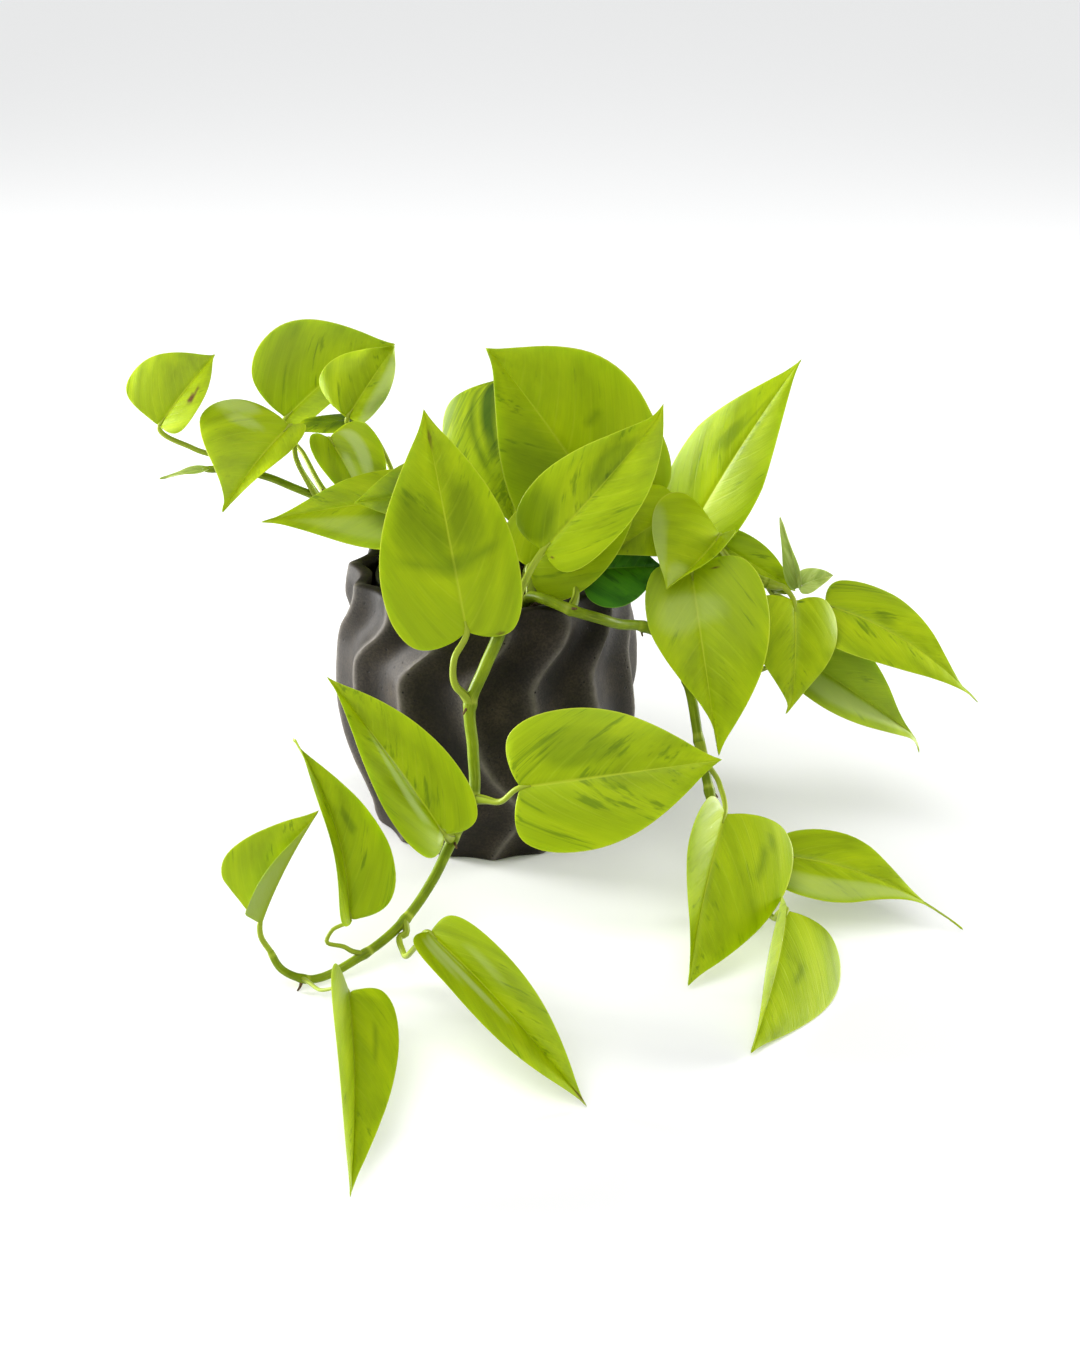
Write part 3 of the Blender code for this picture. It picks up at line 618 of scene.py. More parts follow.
# ------------------------------------------------------------------ planter, liner and soil
@dataclass
class Planter:
    """A waisted bowl with upright flutes that swing sideways as they rise.

    phase is how far the first ridge stands right of the front, in degrees. crest_radius and swing hold
    the radius over the ridges and their turn in degrees by height. blunt rounds the crests, and the two
    paint reaches say how far into the flute each paint goes: the crests' wear with painted highlight, and
    the painted light on their shoulders.
    """

    ridges: int = 14
    phase: float = 2.0
    columns: int = 336
    wall: float = 5.5
    floor: float = 7.0
    depth_low: float = 2.5
    depth_high: float = 5.5
    blunt: float = 0.006
    crest_wear_and_highlight: float = 0.08
    painted_light_reach: float = 0.36
    inside_foot: float = 40.5
    inside_flare: float = 0.16
    floor_radius: float = 38.5
    drains: int = 3
    drain_ring: float = 24.0
    drain_radius: float = 4.5
    crest_radius: tuple = ((0, 49), (5, 51), (16, 54.5), (26, 58.5), (38, 62), (57, 65), (75, 64.7), (90, 63),
                           (105, 60.5), (115, 58.5))
    swing: tuple = ((0, 1), (8, 5), (16, 10), (26, 12.5), (35, 8), (45, 1), (60, -5), (77, -9), (86, -9),
                    (93, -4), (100, 3), (108, 7.5), (115, 6.5))

    def flute(self, around: Array, height: float) -> tuple[Array, Array]:
        """Outside radius and depth into the flute at one height.

        The radius is the crest's, less the flute's depth times the size of a sine that is zero on every
        ridge. A small square rounds the crest by about half a millimetre.

        Args:
            around: Angles from the first ridge.
            height: Height above the foot.

        Returns:
            Radii, and the distance into the flute from 0 on a crest to about 0.92 in the hollow.
        """
        crest = smooth_between(np.array([height]), self.crest_radius)[0]
        depth = self.depth_low + (self.depth_high - self.depth_low) * min(height / 50.0, 1.0)
        sine = np.sin(self.ridges * around / 2.0)
        hollow = np.sqrt(sine**2 + self.blunt) - math.sqrt(self.blunt)
        return crest - depth * hollow, hollow

    def rings(self) -> tuple[Array, Array]:
        """The outside from the foot to the rim, the rim, and the inside down to the floor.

        Returns:
            Ring points and their paint.
        """
        around = np.linspace(0.0, math.tau, self.columns, endpoint=False)
        levels = np.linspace(1.2, 113.9, 92)
        table = [(0.0, -1.3), (0.35, -0.45)] + [(z, 0.0) for z in levels] + [(114.7, -0.35), (115.0, -1.2)]
        rows, paints = [], []

        def add(radius: Array, height: float, hollow: Array, share: float) -> None:
            """Adds a ring at a height, swung with the ridges, and its paint: crest wear with painted
            highlight, and painted light.
            """
            turn = math.radians(smooth_between(np.array([height]), self.swing)[0] + self.phase)
            rows.append(np.stack([radius * np.sin(around + turn), -radius * np.cos(around + turn),
                                  np.full(self.columns, height)], 1))
            # red paints the crests' wear with a painted highlight, green the painted light on their shoulders
            # and the painted shade in the hollows
            paint = [np.exp(-(hollow / self.crest_wear_and_highlight) ** 2), np.exp(-(hollow / self.painted_light_reach) ** 2),
                     hollow * 0, hollow * 0]
            paints.append(np.stack(paint, 1) * share)

        for height, inset in table:
            radius, hollow = self.flute(around, height)
            add(radius + inset, height, hollow, 1.0)
        for height in (115.0, 114.6, 112.0, 104.0, 92.0, 80.0, 70.0, 55.0, 40.0, 25.0, 12.0, 9.0):
            radius, hollow = self.flute(around, height)
            share = min(max((height - 35.0) / 35.0, 0.0), 1.0)
            inset = self.wall - (1.0 if height == 115.0 else 0.3 if height == 114.6 else 0.0)
            plain = self.inside_foot + (height - 9.0) * self.inside_flare
            add(share * (radius - inset) + (1.0 - share) * plain, height, hollow, 0.3)
        add(np.full(self.columns, self.floor_radius), self.floor, np.zeros(self.columns), 0.0)
        return np.array(rows), np.array(paints)

    def build(self, finish: bpy.types.Material) -> bpy.types.Object:
        """Builds the bowl, then cuts its three drain holes with round cutters.

        Args:
            finish: The concrete.

        Returns:
            The planter.
        """
        rows, paints = self.rings()
        # cast unevenness of a tenth of a millimetre
        wave = lumpy(rows, 9.0, 3)[..., None] * 0.10 + lumpy(rows, 2.6, 4)[..., None] * 0.05
        rows[2:-13] += unit(rows * [1, 1, 0])[2:-13] * wave[2:-13]
        skin = closed_skin(rows, np.zeros(3), np.array([0.0, 0.0, self.floor]),
                           np.linspace(0, 1, self.columns + 1), np.linspace(0, 1, len(rows)), paints)
        bowl = make_piece("planter_fluted", [skin], [finish], ["planter"])
        for k in range(self.drains):
            angle = math.radians(30 + 360 / self.drains * k)
            cut_hole(bowl, self.drain_ring * math.cos(angle), self.drain_ring * math.sin(angle), -4.0,
                     self.floor + 4.0, self.drain_radius)
        bowl.data.set_sharp_from_angle(angle=math.radians(50))
        return bowl


def cut_hole(piece: bpy.types.Object, x: float, y: float, low: float, high: float, radius: float) -> None:
    """Cuts an upright round hole between two heights and keeps the result as the piece's mesh.

    Args:
        piece: The object to cut.
        x: Centre across, in millimetres.
        y: Centre in depth.
        low: Height where the hole starts.
        high: Height where it ends.
        radius: Radius of the hole.
    """
    line = np.array([[x, y, low], [x, y, (low + high) / 2.0], [x, y, high]], float)
    skin = tube(line, np.full(3, radius), 40)
    mesh = bpy.data.meshes.new("hole")
    mesh.from_pydata((skin.points * MM).tolist(), [], skin.quads.tolist() + skin.tris.tolist())
    drill = bpy.data.objects.new("hole", mesh)
    bpy.context.scene.collection.objects.link(drill)
    cut = piece.modifiers.new("Hole", "BOOLEAN")
    cut.operation = "DIFFERENCE"
    cut.solver = "EXACT"
    cut.object = drill
    bpy.context.view_layer.update()
    result = bpy.data.meshes.new_from_object(piece.evaluated_get(bpy.context.evaluated_depsgraph_get()))
    piece.modifiers.clear()
    old, piece.data = piece.data, result
    bpy.data.meshes.remove(old)
    bpy.data.objects.remove(drill)
    bpy.data.meshes.remove(mesh)


@dataclass
class Liner:
    """The nursery pot inside the planter, with a thick rounded lip that shows inside the rim.

    profile holds radius and height from the foot's centre up the outside, over the lip and back inside.
    """

    columns: int = 128
    profile: tuple = ((0.0, 7.3), (35.6, 7.3), (36.0, 7.6), (37.5, 9.3), (44.2, 100.0), (44.6, 106.2),
                      (44.9, 106.5), (46.6, 106.5), (47.0, 106.9), (47.0, 111.9), (46.8, 112.3),
                      (46.3, 112.5), (44.1, 112.5), (43.7, 112.3), (43.5, 111.8), (42.8, 106.0),
                      (35.2, 9.4), (34.9, 9.0), (0.0, 9.0))
    holes: int = 6
    hole_ring: float = 26.0
    hole_radius: float = 3.0

    def build(self, finish: bpy.types.Material) -> bpy.types.Object:
        """Turns the profile about the Z axis, and cuts the holes in its floor.

        Args:
            finish: The plastic.

        Returns:
            The liner.
        """
        radius, height = np.array(self.profile[1:-1], float).T
        angle = np.linspace(0.0, math.tau, self.columns, endpoint=False)
        rows = np.stack([radius[:, None] * np.cos(angle), radius[:, None] * np.sin(angle),
                         np.broadcast_to(height[:, None], (len(height), self.columns))], -1)
        skin = closed_skin(rows, np.array([0, 0, 7.3]), np.array([0, 0, 9.0]),
                           np.linspace(0, 1, self.columns + 1), height / 100.0)
        pot = make_piece("liner_rolled_lip", [skin], [finish], ["liner"])
        for k in range(self.holes):
            turn = math.tau * (k + 0.5) / self.holes
            cut_hole(pot, self.hole_ring * math.cos(turn), self.hole_ring * math.sin(turn), 3.0, 12.0,
                     self.hole_radius)
        pot.data.set_sharp_from_angle(angle=math.radians(35))
        return pot


@dataclass
class Soil:
    """Potting mix that fills the liner, with crumbs and perlite on top."""

    radius: float = 42.2
    columns: int = 120
    crumbs: int = 620
    perlite: int = 46

    def top(self, radius: Array) -> Array:
        """Height of the even surface at a distance from the centre."""
        return smooth_between(radius, [(0, 102.5), (18, 102.2), (34, 101.0), (self.radius, 99.5)])

    def build(self, finish: bpy.types.Material) -> bpy.types.Object:
        """Builds the filling as rings from its foot up its side and in over its lumpy top.

        Args:
            finish: The soil.

        Returns:
            The soil.
        """
        angle = np.linspace(0.0, math.tau, self.columns, endpoint=False)
        radius = np.concatenate([[33.4, 33.6, 38.0, 41.6, 42.0], np.linspace(41.9, 1.5, 36)])
        height = np.concatenate([[9.4, 9.7, 50.0, 94.0, 98.6], self.top(radius[5:])])
        rows = np.stack([radius[:, None] * np.cos(angle), radius[:, None] * np.sin(angle),
                         np.broadcast_to(height[:, None], (len(height), self.columns))], -1)
        rows[6:, :, 2] += lumpy(rows[6:], 5.0, 11) * 0.7 + lumpy(rows[6:], 1.8, 12) * 0.45
        skin = closed_skin(rows, np.array([0, 0, 9.4]), np.array([0, 0, 102.5]),
                           np.linspace(0, 1, self.columns + 1), height / 100.0)
        return make_piece("soil_filling", [skin], [finish], ["soil"])

    def scatter(self, name: str, count: int, size: tuple[float, float], seed: int,
                finish: bpy.types.Material) -> bpy.types.Object:
        """Lays small lumps on the surface: squashed balls of 30 faces, each turned and sized at random.

        Args:
            name: The piece's name.
            count: Number of lumps.
            size: Smallest and largest radius in millimetres.
            seed: Picks the places.
            finish: What the lumps are.

        Returns:
            One object that holds all the lumps.
        """
        dice = np.random.default_rng(seed)
        tilt = np.linspace(0, math.pi, 6)[1:-1]
        turn = np.linspace(0, math.tau, 6, endpoint=False)
        ball = np.stack([np.sin(tilt)[:, None] * np.cos(turn), np.sin(tilt)[:, None] * np.sin(turn),
                         np.broadcast_to(-np.cos(tilt)[:, None], (4, 6))], -1)
        out = 41.0 * np.sqrt(dice.uniform(0, 1, count))
        way = dice.uniform(0, math.tau, count)
        centres = np.stack([out * np.cos(way), out * np.sin(way), self.top(out) + 0.3], 1)
        skins = []
        for centre in centres:
            scale = dice.uniform(*size) * dice.uniform(0.6, 1.3, 3)
            axes = np.linalg.qr(dice.normal(size=(3, 3)))[0]
            axes = axes * np.sign(np.linalg.det(axes))
            knobbly = 1.0 + 0.25 * dice.uniform(-1, 1, (4, 6, 1))
            ends = np.array([[0, 0, -1.0], [0, 0, 1.0]]) * scale @ axes + centre
            skins.append(closed_skin(ball * knobbly * scale @ axes + centre, ends[0], ends[1],
                                     np.linspace(0, 1, 7), np.linspace(0, 1, 4)))
        return make_piece(name, skins, [finish])


# ------------------------------------------------------------------ leaves and stems
# where each side vein ends: vein number, half widths out on a broad and on a slim blade, lengths up on a
# blade with heart lobes and on one with a round foot
VEIN_ENDS = [(0, 0, 0, 0, 0), (0.07, 0.22, 0.22, -0.035, 0), (0.14, 0.48, 0.48, -0.05, 0.01),
             (0.22, 0.72, 0.72, -0.03, 0.04), (0.30, 0.88, 0.88, 0.04, 0.10), (0.38, 0.97, 0.97, 0.14, 0.19),
             (0.47, 1.0, 0.98, 0.29, 0.32), (0.56, 0.965, 0.88, 0.43, 0.445), (0.65, 0.85, 0.70, 0.57, 0.575),
             (0.74, 0.66, 0.47, 0.70, 0.70), (0.83, 0.41, 0.25, 0.82, 0.82), (0.91, 0.17, 0.09, 0.915, 0.915),
             (0.96, 0.06, 0.035, 0.965, 0.965), (1, 0, 0, 1, 1)]


class Paint(Enum):
    """What a spot on a blade is, by its channel in the "marks" attribute."""

    SCAR = 0
    # painted shade, also used for a few dark streaks
    SHADE = 1
    # whitish bloom together with painted sheen
    BLOOM = 3


@dataclass
class Mark:
    """A spot painted on a blade, with soft edges.

    across runs from -1 to 1, along from 0 to 1; wide and long are the spot's half sizes in those.
    """

    across: float
    along: float
    wide: float
    long: float
    depth: float = 1.0
    paint: Paint = Paint.SHADE


@dataclass
class Leaf:
    """One blade on its petiole, in millimetres and degrees.

    base and tip are the ends of the midrib and face points out of the upper side. bend is the arc of
    the midrib, fold the rise of each half, curl how much of that rise is lost by the margin, sway the
    sideways bow of the midrib and hook the sideways turn of its last tenth. lobe is 1 for a heart-shaped
    foot and 0 for a round one. Seen with the tip up, left and right widen the halves, and slim draws
    the outer end of each one in. wave ripples the margin.
    """

    base: Point
    tip: Point
    face: Point
    width: float
    bend: float = 15
    fold: float = 10
    curl: float = 15
    sway: float = 0
    taper: float = 0
    node: tuple[str, int] | None = None
    via: tuple[Point, ...] = ()
    stalk: float = 1.25
    end_on: bool = False
    lobe: float = 1.0
    left: float = 1.0
    right: float = 1.0
    slim: tuple[float, float] = (0.4, 0.4)
    wave: float = 0.5
    hook: float = 0.0
    dashes: float = 0.45
    # painted light that brightens a blade lying in shade
    painted_lift: float = 0.0
    kind: Slot = Slot.LEAF
    marks: tuple[Mark, ...] = ()
    rows: int = 48
    half: int = 17

    def middle(self, along: Array, across: Array) -> tuple[Array, Array, Array]:
        """The blade's middle surface.

        Side veins leave the midrib at along squared times its length and curve forward to the margin.
        The midrib is an arc that bows to the upper side, both halves rise from it by the fold and curl
        back level. Where a vein ends, and how far out, comes from VEIN_ENDS.

        Args:
            along: Vein numbers from 0 at the base to 1 at the tip.
            across: Places on a vein from -1 to 1.

        Returns:
            Points, shape (along, across, 3), the distance out from the midrib at each, and the share of
            the midrib's length at which the side vein through each leaves the midrib.
        """
        base, tip = np.array(self.base, float), np.array(self.tip, float)
        length = float(np.linalg.norm(tip - base))
        forward = (tip - base) / length
        face = np.array(self.face, float)
        up = unit(face - face @ forward * forward)
        side = np.cross(forward, up)
        arc = math.radians(self.bend)
        radius = length / (2.0 * math.sin(arc / 2.0))
        midrib = radius * arc
        number, broad, narrow, heart, plain = np.array(VEIN_ENDS, float).T
        halves = []
        for share, slim in zip((self.left, self.right), self.slim):
            outer = smooth_between(along, np.stack([number, (1.0 - slim) * broad + slim * narrow], 1))
            outer = outer * (1.0 - self.taper * np.clip((along - 0.55) / 0.35, 0.0, 1.0))
            halves.append(np.maximum(outer, 0.0) * share * self.width / 2.0)
        ahead = self.lobe * heart + (1.0 - self.lobe) * plain
        end = smooth_between(along, np.stack([number, ahead], 1)) * midrib
        start = along**2 * midrib
        fraction = np.abs(across)[None, :]
        lateral = fraction * np.where(across[None, :] < 0.0, halves[0][:, None], halves[1][:, None])
        forth = start[:, None] + (end - start)[:, None] * fraction**1.25
        fold = math.radians(self.fold)
        turn = math.radians(self.curl) / (self.width / 2.0)
        sideways = (math.sin(fold) - np.sin(fold - turn * lateral)) / turn * np.sign(across)[None, :]
        rise = (np.cos(fold - turn * lateral) - math.cos(fold)) / turn
        gone = np.clip(forth / midrib, -0.1, 1.0)
        sideways = sideways + self.sway * np.sin(math.pi * gone)
        sideways = sideways + self.hook * np.clip((gone - 0.86) / 0.14, 0.0, 1.0) ** 2
        phase = self.base[0] * 0.7 + np.sign(across)[None, :] * 1.3
        rise = rise + self.wave * fraction**4 * np.sin(along[:, None] * 13.0 + phase)
        angle = forth / radius - arc / 2.0
        ahead_of = radius * (np.sin(angle) + math.sin(arc / 2.0))
        above = radius * (np.cos(angle) - math.cos(arc / 2.0))
        tilted = up * np.cos(angle)[..., None] + forward * np.sin(angle)[..., None]
        points = (base + ahead_of[..., None] * forward + above[..., None] * up + sideways[..., None] * side
                  + rise[..., None] * tilted)
        reach = 2.0 * lateral / self.width
        return points, lateral, gone - 0.35 * reach - 0.25 * reach**2

    def blade(self, seed: float) -> Skin:
        """The blade with its thickness, its sunken midrib above and raised midrib below.

        The upper side lies half a thickness over the middle surface, along its normal, and the lower
        side half a thickness under it. The thickness is 0.5 mm and runs out to 0.1 mm at the margin.
        Between side veins the upper side swells by up to a fifth of a millimetre.

        Args:
            seed: The leaf's own random shift.

        Returns:
            The closed blade.
        """
        t = np.linspace(0.0, 1.0, self.rows)
        along = t - 0.35 * np.sin(math.tau * t) / math.tau
        s = 0.5 - 0.5 * np.cos(np.linspace(0.0, math.pi, self.half))
        across = np.concatenate([-s[::-1], s[1:]])
        points, lateral, vein = self.middle(along, across)
        normal = np.cross(np.gradient(points, axis=1), np.gradient(points, axis=0))
        normal[0], normal[-1] = normal[1], normal[-2]
        normal = unit(normal)
        upward = np.sign((normal[len(t) // 2].mean(0)) @ np.array(self.face, float)) or 1.0
        normal = normal * upward
        edge = np.abs(across)[None, :]
        thick = 0.06 + 0.19 * (1.0 - edge**8)
        rib = np.exp(-((lateral / 0.85) ** 2)) * np.sqrt(np.clip(1.0 - along, 0.0, 1.0))[:, None]
        swell = 0.09 * (1.0 - np.cos(math.tau * 8.0 * vein)) * np.sin(math.pi * edge)
        above = points + normal * (thick + swell - 0.45 * rib)[..., None]
        below = points - normal * (thick - swell * 0.6 + 0.75 * rib)[..., None]
        rows = np.concatenate([above, below[:, ::-1]], axis=1)
        u = (across + 1.0) / 2.0
        u = np.concatenate([u, u[::-1], u[:1]])
        columns = rows.shape[1]
        looks = np.zeros((len(t), columns, 4))
        looks[...] = [seed, self.dashes, self.painted_lift, 0.0]
        looks[:, columns // 2:, 3] = 1.0
        marks = np.zeros((len(t), columns, 4))
        marks[..., 2] = np.concatenate([vein, vein[:, ::-1]], axis=1)
        place = np.concatenate([across, across[::-1]])[None, :]
        for mark in self.marks:
            far = ((place - mark.across) / mark.wide) ** 2 + ((along[:, None] - mark.along) / mark.long) ** 2
            channel = mark.paint.value
            marks[..., channel] = np.maximum(marks[..., channel], mark.depth * np.clip(1.6 - 1.2 * far, 0, 1))
        inner = slice(1, -1)
        skin = closed_skin(rows[inner], points[0].mean(0), points[-1].mean(0), u, along[inner], looks[inner],
                           marks[inner])
        if upward < 0:
            return skin
        skin.quads, skin.tris = skin.quads[:, ::-1], skin.tris[:, ::-1]
        skin.quad_uv, skin.tri_uv = skin.quad_uv[:, ::-1], skin.tri_uv[:, ::-1]
        return skin


@dataclass
class Vine:
    """One stem with its leaves' nodes: radius and the points it passes, in millimetres.

    roots are the nodes that carry a dry root stub, and thin is the share of the radius that is lost by
    the growing end.
    """

    radius: float
    points: tuple[Point, ...]
    roots: tuple[int, ...] = ()
    thin: float = 0.12

    def stem(self, nodes: Sequence[int]) -> list[Skin]:
        """The stem, thickened and ringed at its nodes, with short brown root stubs under some of them.

        The radius falls with the square of the way along, and swells by a fifth at a node over about
        3 mm.

        Args:
            nodes: Numbers of the points that carry a leaf.

        Returns:
            The stem and its root stubs.
        """
        line, reach = route(self.points, STEP)
        place = np.linspace(0.0, reach[-1], len(line))
        radius = self.radius * (1.0 - self.thin * (place / reach[-1]) ** 2)
        ring = np.zeros(len(line))
        for number in sorted(set(nodes) | set(self.roots)):
            near = np.exp(-(((place - reach[number]) / 1.9) ** 2))
            radius = radius * (1.0 + 0.20 * near)
            ring = np.maximum(ring, np.exp(-(((place - reach[number] + 2.2) / 0.7) ** 2)))
        tail = np.clip((reach[-1] - place) / 4.0, 0.0, 1.0)
        radius = radius * np.sqrt(1.0 - (1.0 - tail) ** 2 * 0.85)
        cork = np.clip(1.0 - place / 45.0, 0.0, 1.0) * 0.5
        looks = np.stack([ring * 0, cork, ring * 0.75, ring * 0], 1)
        skins = [tube(line, radius, 20, looks)]
        for number in self.roots:
            at = int(np.argmin(np.abs(place - reach[number])))
            way = unit(line[min(at + 2, len(line) - 1)] - line[max(at - 2, 0)])
            skins.append(self.root(line[at], way, number))
        return skins

    def root(self, foot: Array, way: Array, number: int) -> Skin:
        """A short dry aerial root that leaves the stem and turns down."""
        dice = np.random.default_rng(number + 7)
        out = np.cross(way, unit(dice.normal(size=3)))
        out = unit(out + np.array([0, 0, -0.4]))
        t = np.linspace(0.0, 1.0, 8)[:, None]
        line = foot + out * (self.radius * 0.6 + 3.4 * t) + way * 1.2 * t**2
        return tube(line, np.linspace(0.75, 0.35, 8), 8, finish=1)


VINES: dict[str, Vine] = {
    "vine_front": Vine(2.6, (
        (2, -24, 82), (2, -26, 98), (3, -36, 116), (4, -50, 123), (6, -62, 122), (7, -71, 117),
        (1, -78, 103), (-5, -81, 88), (-4, -85, 70), (-4, -92, 52), (-12, -102, 39), (-20, -115, 27),
        (-30, -127, 17), (-45, -139, 9), (-68, -149, 4), (-76, -150, 9),
        (-80.5, -148.5, 17)), (7, 10, 12, 14), 0.45),
    "vine_right_low": Vine(2.2, (
        (14, -26, 82), (15, -28, 98), (16, -33, 110), (19, -40, 117), (26, -49, 119), (35, -54, 117),
        (46, -48, 111), (55, -40, 105), (65, -33, 101), (75, -32, 95), (83, -40, 80), (88, -50, 57),
        (92, -62, 40), (97, -76, 20), (105, -88, 7), (113, -97, 4)), (5, 8, 10, 12, 14)),
    "vine_right_high": Vine(2.2, (
        (26, -6, 82), (28, -7, 98), (40, -8, 114), (58, -8, 123), (78, -8, 124), (90, -8, 122),
        (104, -8, 117), (118, -8, 110), (127, -8, 106)), (3, 5)),
    "vine_left": Vine(1.75, (
        (-26, 2, 82), (-27, 2, 98), (-40, 2, 119), (-50, 1, 130), (-58, 1, 138), (-64, 1, 142),
        (-70, 1, 145), (-80, 2, 149), (-90, 3, 153), (-104, 4, 156), (-118, 5, 156)), (6, 9)),
    "stem_crown_left": Vine(2.4, (
        (-8, 4, 82), (-8, 4, 98), (-9, 2, 112), (-11, -1, 127))),
    "stem_crown_right": Vine(2.4, (
        (16, 8, 82), (16, 8, 98), (18, 7, 110), (24, 5, 122))),
}

